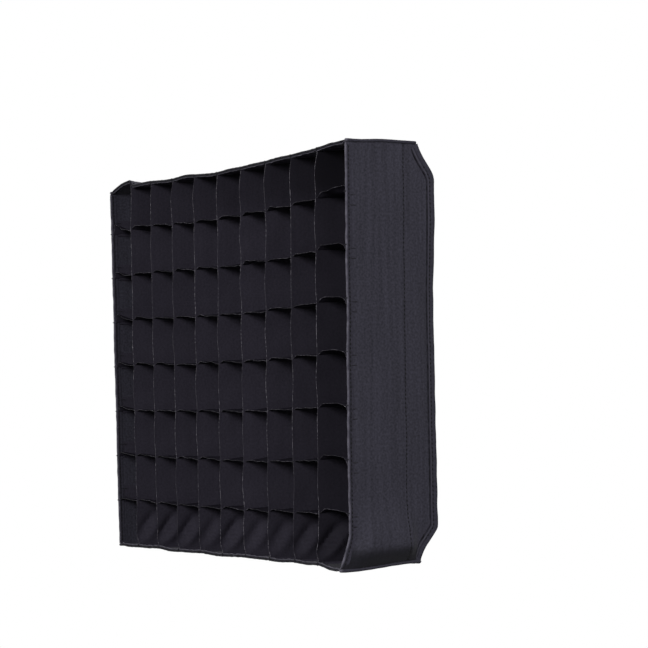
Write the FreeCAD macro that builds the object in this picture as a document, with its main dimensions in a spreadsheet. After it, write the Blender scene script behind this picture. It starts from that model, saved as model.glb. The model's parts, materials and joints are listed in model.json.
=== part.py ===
import FreeCAD, Part

import math
import os

import Sketcher

# A fabric control grid for the front of a rectangular softbox. Four cloth walls form an open
# box, ten cells wide and eight high, that is divided by interlocking cloth strips. Behind the
# cells the walls run on as a skirt that goes over the softbox rim: a loop tape is sewn inside
# it, and its rear part is four flaps that open outwards, each edged with a folded binding.
#
# Frame: X is the grid's width, Y its depth with the front at -Y, and Z is up. The origin is
# the middle of the plane that the softbox rim stops at. All sizes are in millimetres.
#
# Every wall, and all that is sewn to it, is drawn in the same side frame: X along the wall
# from its middle, Y as above, and Z from the wall's mid-plane into the grid.

os.makedirs("parts", exist_ok=True)
doc = FreeCAD.newDocument("control_grid")

DRIVING_DIMENSIONS = [
    ("grid_width", 400.0, "between the mid-planes of the left and right walls"),
    ("grid_height", 320.0, "between the mid-planes of the top and bottom walls"),
    ("cell_columns", 10, "cells across the width"),
    ("cell_rows", 8, "cells down the height"),
    ("front_depth", 50.0, "from the front edge to the plane that the rim stops at"),
    ("fold_depth", 13.0, "from that plane to the fold of the flaps"),
    ("wall_thickness", 0.6, "two layers of coated cloth"),
    ("strip_thickness", 0.3, "one layer of cloth"),
    ("strip_depth", 46.0, "of a column strip, front to rear"),
    ("strip_setback", 1.0, "of a column strip's front edge behind the front of the hem"),
    ("row_setback", 0.8, "of a row strip's edges behind those of a column strip"),
    ("slot_play", 0.6, "beside a strip in its slot when the grid is folded"),
    ("slot_overrun", 0.4, "of a slot past the middle of the strip"),
    ("fold_limit", 70.0, "degrees that the grid folds to either side"),
    ("corner_play", 0.3, "between the layers of two walls when the grid is folded"),
    ("strip_end_play", 0.35, "between a strip's end and the wall when the grid is folded"),
    ("seat_gap", 0.3, "between a moving strip and its tab, or a wall and its corner seam"),
    ("tab_length", 10.0, "of the turned end by which a strip is sewn to a wall"),
    ("tab_crease", 0.1, "thickness of a tab where it leaves its fold"),
    ("tab_rise", 0.95, "along the wall over which a tab comes up from its crease"),
    ("hem_width", 6.0, "of the folded hem along the front edge"),
    ("hem_layer", 0.4, "thickness of the hem cloth on each face"),
    ("hem_gap", 0.3, "between the hem and what is cut back for it"),
    ("tape_margin", 0.5, "from the plane that the rim stops at to the loop tape"),
    ("tape_width", 20.0, "of the loop tape"),
    ("tape_thickness", 0.9, "of the loop tape with its pile"),
    ("tape_gap", 0.5, "between the loop tape and the binding"),
    ("binding_width", 9.0, "of the folded binding of a flap"),
    ("binding_layer", 0.4, "thickness of the binding cloth on each face"),
    ("binding_setback", 1.5, "of the binding behind the fold, so that the flap can turn back"),
    ("chamfer_run", 25.0, "of a flap's slanted end, measured along the rear edge"),
    ("fold_gap", 0.3, "between a wall and its flap"),
    ("seam_end_round", 0.8, "radius at the front end of a corner seam"),
]

sheet = doc.addObject("Spreadsheet::Sheet", "Sizes")
for row_number, (alias, value, note) in enumerate(DRIVING_DIMENSIONS, start=1):
    sheet.set(f"A{row_number}", alias)
    sheet.set(f"B{row_number}", str(value))
    sheet.setAlias(f"B{row_number}", alias)
    sheet.set(f"C{row_number}", note)
doc.recompute()


def size(alias):
    """The number in the sheet under this alias."""
    return float(sheet.get(alias))


# Expressions that several pieces share. Each is text that FreeCAD works out from the sheet.
COLUMN_PITCH = "(Sizes.grid_width / Sizes.cell_columns)"
ROW_PITCH = "(Sizes.grid_height / Sizes.cell_rows)"
FOLD_ANGLE = "(Sizes.fold_limit * 1 deg)"
HALF_CLOSED = "((90 - Sizes.fold_limit) / 2 * 1 deg)"
WALL_HALF = "(Sizes.wall_thickness / 2)"
HEM_HALF = f"({WALL_HALF} + Sizes.hem_layer)"
BINDING_HALF = f"({WALL_HALF} + Sizes.binding_layer)"

FRONT = "(-Sizes.front_depth)"
WALL_REAR = "(Sizes.fold_depth - Sizes.fold_gap / 2)"
FLAP_FRONT = "(Sizes.fold_depth + Sizes.fold_gap / 2)"
TAPE_FRONT = "Sizes.tape_margin"
TAPE_REAR = f"({TAPE_FRONT} + Sizes.tape_width)"
FLAP_REAR = f"({TAPE_REAR} + Sizes.tape_gap + Sizes.binding_width)"

BEHIND_HEM = f"({FRONT} + Sizes.hem_width + Sizes.hem_gap)"

STRIP_FRONT = f"({FRONT} + Sizes.strip_setback)"
STRIP_REAR = f"({STRIP_FRONT} + Sizes.strip_depth)"
STRIP_MIDDLE = f"({STRIP_FRONT} + Sizes.strip_depth / 2)"
ROW_FRONT = f"({STRIP_FRONT} + Sizes.row_setback)"
ROW_REAR = f"({STRIP_REAR} - Sizes.row_setback)"


def clear_of_corner(half_thickness):
    """How far from a corner's axis a layer stops, so that the two walls can close on it."""
    return (
        f"((({half_thickness}) * cos({HALF_CLOSED}) + Sizes.corner_play / 2)"
        f" / sin({HALF_CLOSED}))"
    )


WALL_END = clear_of_corner(WALL_HALF)
HEM_END = clear_of_corner(HEM_HALF)
FLAP_END = clear_of_corner(BINDING_HALF)



def clear_of_layer(half_thickness):
    """How far from its axis a strip stops, so that it can lean to the fold limit at a wall."""
    return (
        f"((({half_thickness}) + Sizes.strip_end_play"
        f" + Sizes.strip_thickness / 2 * sin({FOLD_ANGLE})) / cos({FOLD_ANGLE}))"
    )


STRIP_END = clear_of_layer(WALL_HALF)
STRIP_END_AT_HEM = clear_of_layer(HEM_HALF)

# The slots are wide enough for the strip that crosses them to stand at the fold limit.
SLOT_WIDTH = (
    f"(Sizes.strip_thickness / cos({FOLD_ANGLE}) + Sizes.strip_thickness * tan({FOLD_ANGLE})"
    f" + Sizes.slot_play)"
)
BEAD_RADIUS = f"({STRIP_END} - Sizes.seat_gap)"
SEAM_RADIUS = f"({WALL_END} - Sizes.seat_gap)"

# The slanted ends of a flap.
SLANT_DEPTH = f"({FLAP_REAR} - {FLAP_FRONT})"
SLANT_ANGLE = f"atan({SLANT_DEPTH} / Sizes.chamfer_run)"

# The four sides: the turn about Y from the side frame, the middle of the wall, the wall's
# length and the pitch and count of the cells along it.
ACROSS = ("Sizes.grid_width", COLUMN_PITCH, "Sizes.cell_columns")
UPRIGHT = ("Sizes.grid_height", ROW_PITCH, "Sizes.cell_rows")
SIDES = {
    "bottom": (0, ("0", "-Sizes.grid_height / 2"), ACROSS),
    "right": (-90, ("Sizes.grid_width / 2", "0"), UPRIGHT),
    "top": (180, ("0", "Sizes.grid_height / 2"), ACROSS),
    "left": (90, ("-Sizes.grid_width / 2", "0"), UPRIGHT),
}


def new_body(label, turn=0, middle=("0", "0")):
    """An empty body turned about Y, with its origin at the X and Z that the expressions give."""
    body = doc.addObject("PartDesign::Body", label)
    body.Label = label
    body.AllowCompound = True
    rotation = FreeCAD.Rotation(FreeCAD.Vector(0, 1, 0), turn)
    body.Placement = FreeCAD.Placement(FreeCAD.Vector(0, 0, 0), rotation)
    body.setExpression("Placement.Base.x", middle[0])
    body.setExpression("Placement.Base.z", middle[1])
    return body


def origin_feature(body, role):
    """The body's own origin plane or axis with this role."""
    return next(item for item in body.Origin.OriginFeatures if item.Role == role)


def new_sketch(body, plane, name):
    """A sketch on one of the body's origin planes."""
    sketch = body.newObject("Sketcher::SketchObject", name)
    sketch.AttachmentSupport = (origin_feature(body, plane), [""])
    sketch.MapMode = "FlatFace"
    return sketch


def hold(sketch, geometry, point, axis, expression):
    """Ties one coordinate of a point of the sketch to an expression."""
    if expression == "0":
        sketch_axis = -2 if axis == "X" else -1
        sketch.addConstraint(Sketcher.Constraint("PointOnObject", geometry, point, sketch_axis))
        return
    value = float(sketch.evalExpression(expression))
    rule = Sketcher.Constraint(f"Distance{axis}", -1, 1, geometry, point, value)
    number = sketch.addConstraint(rule)
    sketch.setExpression(f"Constraints[{number}]", expression)


def draw_outline(sketch, corners):
    """Closes an outline through the corners, in order.

    A corner is a pair of expressions. One with a third item, a centre, is followed by an arc
    about that centre, anticlockwise, or clockwise where a fourth item says so.
    """
    def spot(pair):
        return FreeCAD.Vector(*(float(sketch.evalExpression(text)) for text in pair[:2]))

    spots = [spot(corner) for corner in corners]
    count = len(corners)
    ends = []
    for number, corner in enumerate(corners):
        begin = spots[number]
        finish = spots[(number + 1) % count]
        if len(corner) == 2:
            sketch.addGeometry(Part.LineSegment(begin, finish))
            ends.append((1, 2))
            continue
        centre = spot(corner[2])
        clockwise = len(corner) == 4
        first, last = (finish, begin) if clockwise else (begin, finish)
        angles = [math.atan2(place.y - centre.y, place.x - centre.x) for place in (first, last)]
        circle = Part.Circle(centre, FreeCAD.Vector(0, 0, 1), (begin - centre).Length)
        sketch.addGeometry(Part.ArcOfCircle(circle, *angles))
        ends.append((2, 1) if clockwise else (1, 2))
    for number in range(count):
        following = (number + 1) % count
        sketch.addConstraint(
            Sketcher.Constraint("Coincident", number, ends[number][1], following, ends[following][0])
        )
    for number, corner in enumerate(corners):
        hold(sketch, number, ends[number][0], "X", corner[0])
        hold(sketch, number, ends[number][0], "Y", corner[1])
        if len(corner) > 2:
            # Two fixed ends leave an arc's centre free only across its chord.
            chord = spots[(number + 1) % count] - spots[number]
            across = 1 if abs(chord.x) > abs(chord.y) else 0
            hold(sketch, number, 3, "XY"[across], corner[2][across])


def rectangle(left, front, right, rear):
    """The four corners of a rectangle, from the expressions of its sides."""
    return [(left, front), (right, front), (right, rear), (left, rear)]


def pad(body, sketch, name, length):
    """Thickens a sketch equally to both sides of its plane."""
    feature = body.newObject("PartDesign::Pad", name)
    feature.Profile = sketch
    feature.SideType = "Symmetric"
    feature.setExpression("Length", length)
    sketch.Visibility = False
    return feature


def pocket(body, sketch, name, length=None):
    """Cuts a sketch equally to both sides of its plane, or right through without a length."""
    doc.recompute()
    volume_before = body.Shape.Volume
    feature = body.newObject("PartDesign::Pocket", name)
    feature.Profile = sketch
    feature.SideType = "Symmetric"
    if length is None:
        feature.Type = "ThroughAll"
    else:
        feature.setExpression("Length", length)
    sketch.Visibility = False
    doc.recompute()
    if body.Shape.Volume >= volume_before:
        raise ValueError(f"{body.Label}: {name} cuts nothing")
    return feature


def repeat_along(body, feature, spacing, occurrences):
    """Repeats a feature along the body's X axis."""
    pattern = body.newObject("PartDesign::LinearPattern", "Repeats")
    pattern.Originals = [feature]
    pattern.Direction = (origin_feature(body, "X_Axis"), [""])
    pattern.Mode = "Spacing"
    pattern.setExpression("Offset", spacing)
    pattern.setExpression("Occurrences", occurrences)
    body.Tip = pattern
    return pattern


def flat_panel(side, label, front, rear, end, layer=None):
    """A rectangular panel of a side, that stops short of both corners.

    With a layer, an expression for its thickness, it lies on the wall's inner face.
    """
    turn, middle, (length, _, _) = SIDES[side]
    body = new_body(label, turn, middle)
    if layer is None:
        half_length = f"({length} / 2 - {end})"
        sketch = new_sketch(body, "XY_Plane", "Outline")
        draw_outline(sketch, rectangle(f"-{half_length}", front, half_length, rear))
        pad(body, sketch, "Thickness", "Sizes.wall_thickness")
        return body
    sketch = new_sketch(body, "YZ_Plane", "Section")
    draw_outline(sketch, rectangle(front, WALL_HALF, rear, f"({WALL_HALF} + {layer})"))
    pad(body, sketch, "Length", f"{length} - 2 * {end}")
    return body


def front_hem(side):
    """The hem: cloth turned round the wall's front edge, with a round nose."""
    turn, middle, (length, _, _) = SIDES[side]
    body = new_body(f"{side}_front_hem", turn, middle)
    nose = f"({FRONT} + {HEM_HALF})"
    rear = f"({FRONT} + Sizes.hem_width)"
    sketch = new_sketch(body, "YZ_Plane", "Section")
    draw_outline(
        sketch,
        [
            (nose, HEM_HALF, (nose, "0")),
            (nose, f"-{HEM_HALF}"),
            (rear, f"-{HEM_HALF}"),
            (rear, f"-{WALL_HALF}"),
            (nose, f"-{WALL_HALF}", (nose, "0"), "clockwise"),
            (nose, WALL_HALF),
            (rear, WALL_HALF),
            (rear, HEM_HALF),
        ],
    )
    pad(body, sketch, "Length", f"{length} - 2 * {HEM_END}")
    return body


def flap_outline(length, inset, front):
    """The outline of a flap drawn in by an inset on all sides but the fold.

    The slanted ends keep their line whatever the front, which may lie behind the fold.
    """
    half_front = (
        f"({length} / 2 - {FLAP_END} - ({front} - {FLAP_FRONT}) / tan({SLANT_ANGLE})"
        f" - {inset} / sin({SLANT_ANGLE}))"
    )
    half_rear = (
        f"({length} / 2 - {FLAP_END} - Sizes.chamfer_run - {inset} * tan({SLANT_ANGLE} / 2))"
    )
    rear = f"({FLAP_REAR} - {inset})"
    return [(f"-{half_front}", front), (half_front, front), (half_rear, rear), (f"-{half_rear}", rear)]


def flap(side):
    """The cloth of a flap, which ends inside its binding."""
    turn, middle, (length, _, _) = SIDES[side]
    body = new_body(f"{side}_flap", turn, middle)
    sketch = new_sketch(body, "XY_Plane", "Outline")
    draw_outline(sketch, flap_outline(length, "Sizes.binding_layer", FLAP_FRONT))
    pad(body, sketch, "Thickness", "Sizes.wall_thickness")
    return body


def flap_binding(side):
    """The binding: a folded band round the slanted ends and the rear edge, mitred between."""
    turn, middle, (length, _, _) = SIDES[side]
    body = new_body(f"{side}_flap_binding", turn, middle)
    front = f"({FLAP_FRONT} + Sizes.binding_setback)"
    outer = flap_outline(length, "0", front)
    inner = flap_outline(length, "Sizes.binding_width", front)
    band = [outer[0], inner[0], inner[3], inner[2], inner[1], outer[1], outer[2], outer[3]]
    outline = new_sketch(body, "XY_Plane", "Outline")
    draw_outline(outline, band)
    pad(body, outline, "Thickness", f"2 * {BINDING_HALF}")
    doc.recompute()
    space = new_sketch(body, "XY_Plane", "SpaceForFlap")
    draw_outline(space, flap_outline(length, "Sizes.binding_layer", FLAP_FRONT))
    pocket(body, space, "FlapSlot", "Sizes.wall_thickness")
    return body


def strip_tabs(side):
    """The turned ends of the strips that meet a wall, sewn flat to its inner face.

    Each has a round fold about the line that its strip turns on, and rises from the fold to
    its full thickness no faster than the strip leans over it at the fold limit.
    """
    turn, middle, (length, pitch, cells) = SIDES[side]
    body = new_body(f"{side}_strip_tabs", turn, middle)
    first = f"({pitch} - {length} / 2)"
    crease = f"({WALL_HALF} + Sizes.tab_crease)"
    top = f"({WALL_HALF} + Sizes.strip_thickness)"
    bead_end = f"({first} + sqrt(pow({BEAD_RADIUS}; 2) - pow({WALL_HALF}; 2)))"
    bead_start = f"({first} - sqrt(pow({BEAD_RADIUS}; 2) - pow({crease}; 2)))"
    risen = f"({bead_start} - Sizes.tab_rise)"
    sketch = new_sketch(body, "XZ_Plane", "Section")
    draw_outline(
        sketch,
        [
            (bead_end, WALL_HALF, (first, "0")),
            (bead_start, crease),
            (risen, top),
            (f"({risen} - Sizes.tab_length)", top),
            (f"({risen} - Sizes.tab_length)", WALL_HALF),
        ],
    )
    sketch.setExpression("AttachmentOffset.Base.z", f"-({BEHIND_HEM} + {ROW_REAR}) / 2")
    one_tab = pad(body, sketch, "Tab", f"{ROW_REAR} - {BEHIND_HEM}")
    doc.recompute()
    repeat_along(body, one_tab, pitch, f"{cells} - 1")
    return body


def corner_seam(label, middle):
    """The rolled seam in a corner, round about the line that the two walls turn on."""
    body = new_body(label, 0, middle)
    sketch = new_sketch(body, "XY_Plane", "HalfSection")
    rounding = "Sizes.seam_end_round"
    shoulder = (f"({SEAM_RADIUS} - {rounding})", f"({FRONT} + {rounding})")
    draw_outline(
        sketch,
        [
            ("0", FRONT),
            (shoulder[0], FRONT, shoulder),
            (SEAM_RADIUS, shoulder[1]),
            (SEAM_RADIUS, WALL_REAR),
            ("0", WALL_REAR),
        ],
    )
    roll = body.newObject("PartDesign::Revolution", "Roll")
    roll.Profile = sketch
    roll.ReferenceAxis = (origin_feature(body, "Y_Axis"), [""])
    roll.Angle = 360
    sketch.Visibility = False
    return body


def slotted_strip(label, turn, middle, length, front, rear, slot_ends, crossing):
    """A strip with a slot for each strip that crosses it, its front corners cut for the hem.

    slot_ends are the front and rear of a slot, and crossing the pitch and count of the cells
    along the strip.
    """
    pitch, cells = crossing
    body = new_body(label, turn, middle)
    half_length = f"({length} / 2 - {STRIP_END})"
    half_front = f"({length} / 2 - {STRIP_END_AT_HEM})"
    outline = new_sketch(body, "XY_Plane", "Outline")
    draw_outline(
        outline,
        [
            (f"-{half_front}", front),
            (half_front, front),
            (half_front, BEHIND_HEM),
            (half_length, BEHIND_HEM),
            (half_length, rear),
            (f"-{half_length}", rear),
            (f"-{half_length}", BEHIND_HEM),
            (f"-{half_front}", BEHIND_HEM),
        ],
    )
    pad(body, outline, "Thickness", "Sizes.strip_thickness")
    doc.recompute()
    first = f"({pitch} - {length} / 2)"
    one_slot = new_sketch(body, "XY_Plane", "FirstSlot")
    sides = (f"({first} - {SLOT_WIDTH} / 2)", f"({first} + {SLOT_WIDTH} / 2)")
    draw_outline(one_slot, rectangle(sides[0], slot_ends[0], sides[1], slot_ends[1]))
    slot = pocket(body, one_slot, "Slot")
    repeat_along(body, slot, pitch, f"{cells} - 1")
    return body


def column_strip(number):
    """An upright strip, slotted from its rear edge. The first is the leftmost."""
    middle = (f"({number} * {COLUMN_PITCH} - Sizes.grid_width / 2)", "0")
    slot_ends = (f"({STRIP_MIDDLE} - Sizes.slot_overrun)", f"({STRIP_REAR} + Sizes.slot_overrun)")
    return slotted_strip(
        f"column_strip_{number}", -90, middle, "Sizes.grid_height",
        STRIP_FRONT, STRIP_REAR, slot_ends, (ROW_PITCH, "Sizes.cell_rows"),
    )


def row_strip(number):
    """A level strip, slotted from its front edge. The first is the lowest."""
    middle = ("0", f"({number} * {ROW_PITCH} - Sizes.grid_height / 2)")
    slot_ends = (f"({STRIP_FRONT} - Sizes.slot_overrun)", f"({STRIP_MIDDLE} + Sizes.slot_overrun)")
    return slotted_strip(
        f"row_strip_{number}", 0, middle, "Sizes.grid_width",
        ROW_FRONT, ROW_REAR, slot_ends, (COLUMN_PITCH, "Sizes.cell_columns"),
    )


TAPE_END = (
    f"({FLAP_END} + Sizes.chamfer_run + Sizes.binding_width * tan({SLANT_ANGLE} / 2))"
)

sub_parts = []
for side in SIDES:
    wall_front = f"({FRONT} + {HEM_HALF})"
    sub_parts.append(flat_panel(side, f"{side}_wall", wall_front, WALL_REAR, WALL_END))
    sub_parts.append(front_hem(side))
    sub_parts.append(strip_tabs(side))
    sub_parts.append(
        flat_panel(
            side, f"{side}_loop_tape_front", TAPE_FRONT, WALL_REAR, TAPE_END, "Sizes.tape_thickness"
        )
    )
    sub_parts.append(
        flat_panel(
            side, f"{side}_loop_tape_rear", FLAP_FRONT, TAPE_REAR, TAPE_END, "Sizes.tape_thickness"
        )
    )
    sub_parts.append(flap(side))
    sub_parts.append(flap_binding(side))

for across, sign_x in (("left", "-"), ("right", "")):
    for level, sign_z in (("bottom", "-"), ("top", "")):
        corner = (f"{sign_x}Sizes.grid_width / 2", f"{sign_z}Sizes.grid_height / 2")
        sub_parts.append(corner_seam(f"{level}_{across}_corner_seam", corner))

for number in range(1, int(size("cell_columns"))):
    sub_parts.append(column_strip(number))
for number in range(1, int(size("cell_rows"))):
    sub_parts.append(row_strip(number))

doc.recompute()

for item in doc.Objects:
    if "Invalid" in item.State or "Error" in item.State:
        raise ValueError(f"{item.Label} ({item.Name}) did not build: {item.State}")
for sub_part in sub_parts:
    if sub_part.Shape.isNull() or not sub_part.Shape.isValid():
        raise ValueError(f"{sub_part.Label} has no valid shape")
for sub_part in sub_parts:
    sub_part.Shape.exportStep(os.path.join("parts", f"{sub_part.Label}.step"))
    print(f"{sub_part.Label}: {len(sub_part.Shape.Solids)} solids, {sub_part.Shape.Volume:.0f} mm3")
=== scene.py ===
"""The looks of a cloth control grid for the front of a rectangular softbox.

Four cloth walls stand round a lattice of interlocking cloth strips. Each wall runs on behind
the lattice as a skirt with a loop tape inside it, and ends in a flap with a folded binding.

Frame: X is the grid's width, Y its depth with the front at -Y, and Z is up, in metres. The
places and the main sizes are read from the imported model; the sizes written here are those of
the needlework and of the way the cloth hangs. The numbers that seed an unevenness only keep
one from looking like another.
"""

import json
import logging
import math
from dataclasses import dataclass, field, replace
from enum import Enum

import bmesh
import bpy
import numpy as np
from mathutils import Matrix, Vector

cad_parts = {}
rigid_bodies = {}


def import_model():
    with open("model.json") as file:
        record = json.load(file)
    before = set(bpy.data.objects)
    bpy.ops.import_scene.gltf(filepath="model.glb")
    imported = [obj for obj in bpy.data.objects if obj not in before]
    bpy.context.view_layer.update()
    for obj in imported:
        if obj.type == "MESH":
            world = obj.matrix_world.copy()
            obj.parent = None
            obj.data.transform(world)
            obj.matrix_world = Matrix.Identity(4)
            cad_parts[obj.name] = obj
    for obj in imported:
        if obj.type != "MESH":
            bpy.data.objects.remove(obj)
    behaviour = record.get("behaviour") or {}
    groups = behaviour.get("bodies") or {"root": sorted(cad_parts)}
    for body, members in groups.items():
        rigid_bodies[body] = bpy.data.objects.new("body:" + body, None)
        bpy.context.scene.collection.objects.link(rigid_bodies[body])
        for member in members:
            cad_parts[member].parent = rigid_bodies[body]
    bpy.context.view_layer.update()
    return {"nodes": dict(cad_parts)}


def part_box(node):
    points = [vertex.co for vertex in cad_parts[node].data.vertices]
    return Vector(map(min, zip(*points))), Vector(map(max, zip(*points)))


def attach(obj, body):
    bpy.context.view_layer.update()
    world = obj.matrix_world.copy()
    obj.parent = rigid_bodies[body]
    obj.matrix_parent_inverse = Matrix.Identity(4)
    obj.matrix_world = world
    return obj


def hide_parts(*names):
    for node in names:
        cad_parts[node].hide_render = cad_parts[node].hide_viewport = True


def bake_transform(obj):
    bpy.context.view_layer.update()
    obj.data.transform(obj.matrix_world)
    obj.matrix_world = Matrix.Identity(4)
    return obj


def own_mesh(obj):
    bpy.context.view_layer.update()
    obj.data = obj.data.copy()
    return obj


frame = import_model()
log = logging.getLogger("control_grid")

MM = 0.001
CLOTH_UV = "cloth"
# The colour mark on cloth: above 0 it lightens it, for scuffing and a painted highlight; below 0 it
# darkens it with painted shade.
WEAR_AND_PAINTED_LIGHT = "worn"
FACING = "facing"
HEADING = "heading"
FORWARD = np.array([0.0, -1.0, 0.0])
BACKWARD = np.array([0.0, 1.0, 0.0])
CORNER_BODIES = {
    "top_left": "top_side",
    "top_right": "top_side",
    "bottom_left": "left_side",
    "bottom_right": "bottom_side",
}

Places = np.ndarray | float
Pair = tuple[float, float]
Triple = tuple[float, float, float]
Curve = tuple[Pair, ...]


# ---------------------------------------------------------------- numbers and unevenness


def clamp(value: Places) -> Places:
    """The value, but no less than 0 and no more than 1."""
    return np.clip(value, 0.0, 1.0)


def ease(value: Places) -> Places:
    """0 below 0, 1 above 1, and a smooth rise between."""
    share = clamp(value)
    return share * share * (3.0 - 2.0 * share)


def mound(value: Places, centre: float, spread: float) -> Places:
    """A smooth mound, 1 high at the centre."""
    return np.exp(-(((value - centre) / spread) ** 2))


@dataclass(frozen=True)
class Ripple:
    """Smooth unevenness: sine waves of mixed direction and length, about 1 high in all."""

    seed: int
    wavelength: float
    waves: int = 7

    def at(self, first: Places, second: Places = 0.0) -> Places:
        """The height of the ripple at places given by two coordinates."""
        rng = np.random.default_rng(self.seed)
        total = 0.0
        for _ in range(self.waves):
            heading, phase = rng.uniform(0.0, 2.0 * math.pi, 2)
            length = self.wavelength * rng.uniform(0.6, 1.6)
            travel = first * math.cos(heading) + second * math.sin(heading)
            total = total + np.sin(2.0 * math.pi * travel / length + phase)
        return total / math.sqrt(self.waves)


# ---------------------------------------------------------------- the frame's sizes and sides


class Side(Enum):
    """The four sides, by their turn about Y from the bottom one, in degrees."""

    BOTTOM = 0
    RIGHT = -90
    TOP = 180
    LEFT = 90

    @property
    def label(self) -> str:
        """The word that starts the names of this side's pieces."""
        return self.name.lower()


@dataclass(frozen=True)
class GridSizes:
    """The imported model's main sizes."""

    half_width: float
    half_height: float
    columns: int
    rows: int
    front: float
    hem_rear: float
    tape_front: float
    wall_rear: float
    flap_front: float
    tape_rear: float
    flap_rear: float
    binding_front: float
    half_wall: float
    tape_half_length: float
    rows_rear: float

    @classmethod
    def from_frame(cls) -> "GridSizes":
        """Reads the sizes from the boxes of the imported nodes."""

        def span(node: str, axis: str) -> Pair:
            """Where a node begins and ends on an axis."""
            return tuple(getattr(corner, axis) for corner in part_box(node))

        def cells(strips: str) -> int:
            """How many cells the strips of one kind make."""
            return 1 + sum(name.startswith(strips) for name in frame["nodes"])

        wall, hem = span("right_wall", "x"), span("top_front_hem", "y")
        binding = span("top_flap_binding", "y")
        return cls(
            half_width=(wall[0] + wall[1]) / 2,
            half_height=sum(span("top_wall", "z")) / 2,
            columns=cells("column_strip_"),
            rows=cells("row_strip_"),
            front=hem[0],
            hem_rear=hem[1],
            tape_front=span("top_loop_tape_front", "y")[0],
            wall_rear=span("top_wall", "y")[1],
            flap_front=span("top_flap", "y")[0],
            tape_rear=span("top_loop_tape_rear", "y")[1],
            flap_rear=binding[1],
            binding_front=binding[0],
            half_wall=(wall[1] - wall[0]) / 2,
            tape_half_length=span("top_loop_tape_front", "x")[1],
            rows_rear=span("row_strip_1", "y")[1],
        )

    @property
    def fold(self) -> float:
        """The depth at which a flap folds back."""
        return (self.wall_rear + self.flap_front) / 2

    @property
    def column_pitch(self) -> float:
        """From one column strip to the next."""
        return 2 * self.half_width / self.columns

    @property
    def row_pitch(self) -> float:
        """From one row strip to the next."""
        return 2 * self.half_height / self.rows


@dataclass(frozen=True)
class SideFrame:
    """One wall's own frame: along it, back through its depth, and into the grid."""

    side: Side
    sizes: GridSizes

    @property
    def upright(self) -> bool:
        """Whether the wall stands at the left or the right."""
        return self.side in (Side.LEFT, Side.RIGHT)

    @property
    def half_length(self) -> float:
        """From the wall's middle to the axis of a corner."""
        return self.sizes.half_height if self.upright else self.sizes.half_width

    @property
    def reach(self) -> float:
        """From the grid's middle to the wall."""
        return self.sizes.half_width if self.upright else self.sizes.half_height

    @property
    def strip_ends(self) -> np.ndarray:
        """Where the strips meet the wall."""
        cells = self.sizes.rows if self.upright else self.sizes.columns
        return np.linspace(-self.half_length, self.half_length, cells + 1)[1:-1]

    @property
    def tape_half(self) -> float:
        """Half the length of this side's loop tape."""
        return self.sizes.tape_half_length - self.sizes.half_width + self.half_length

    def place(self, along: Places, depth: Places, inward: Places) -> np.ndarray:
        """Turns places in the side's frame into points.

        Args:
            along: distances along the wall from its middle.
            depth: places along Y.
            inward: distances from the wall's mid-plane into the grid.

        Returns:
            The points, with X, Y and Z on the last axis.
        """
        turn = math.radians(self.side.value)
        along, depth, inward = np.broadcast_arrays(along, depth, inward)
        out = inward - self.reach
        across = along * math.cos(turn) + out * math.sin(turn)
        up = -along * math.sin(turn) + out * math.cos(turn)
        return np.stack([across, depth, up], axis=-1)

    def outward(self) -> np.ndarray:
        """The direction out of the wall, away from the grid."""
        here = self.place(np.array(0.0), np.array(0.0), np.array([0.0, -1.0]))
        return here[1] - here[0]


# ---------------------------------------------------------------- how the cloth hangs


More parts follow.
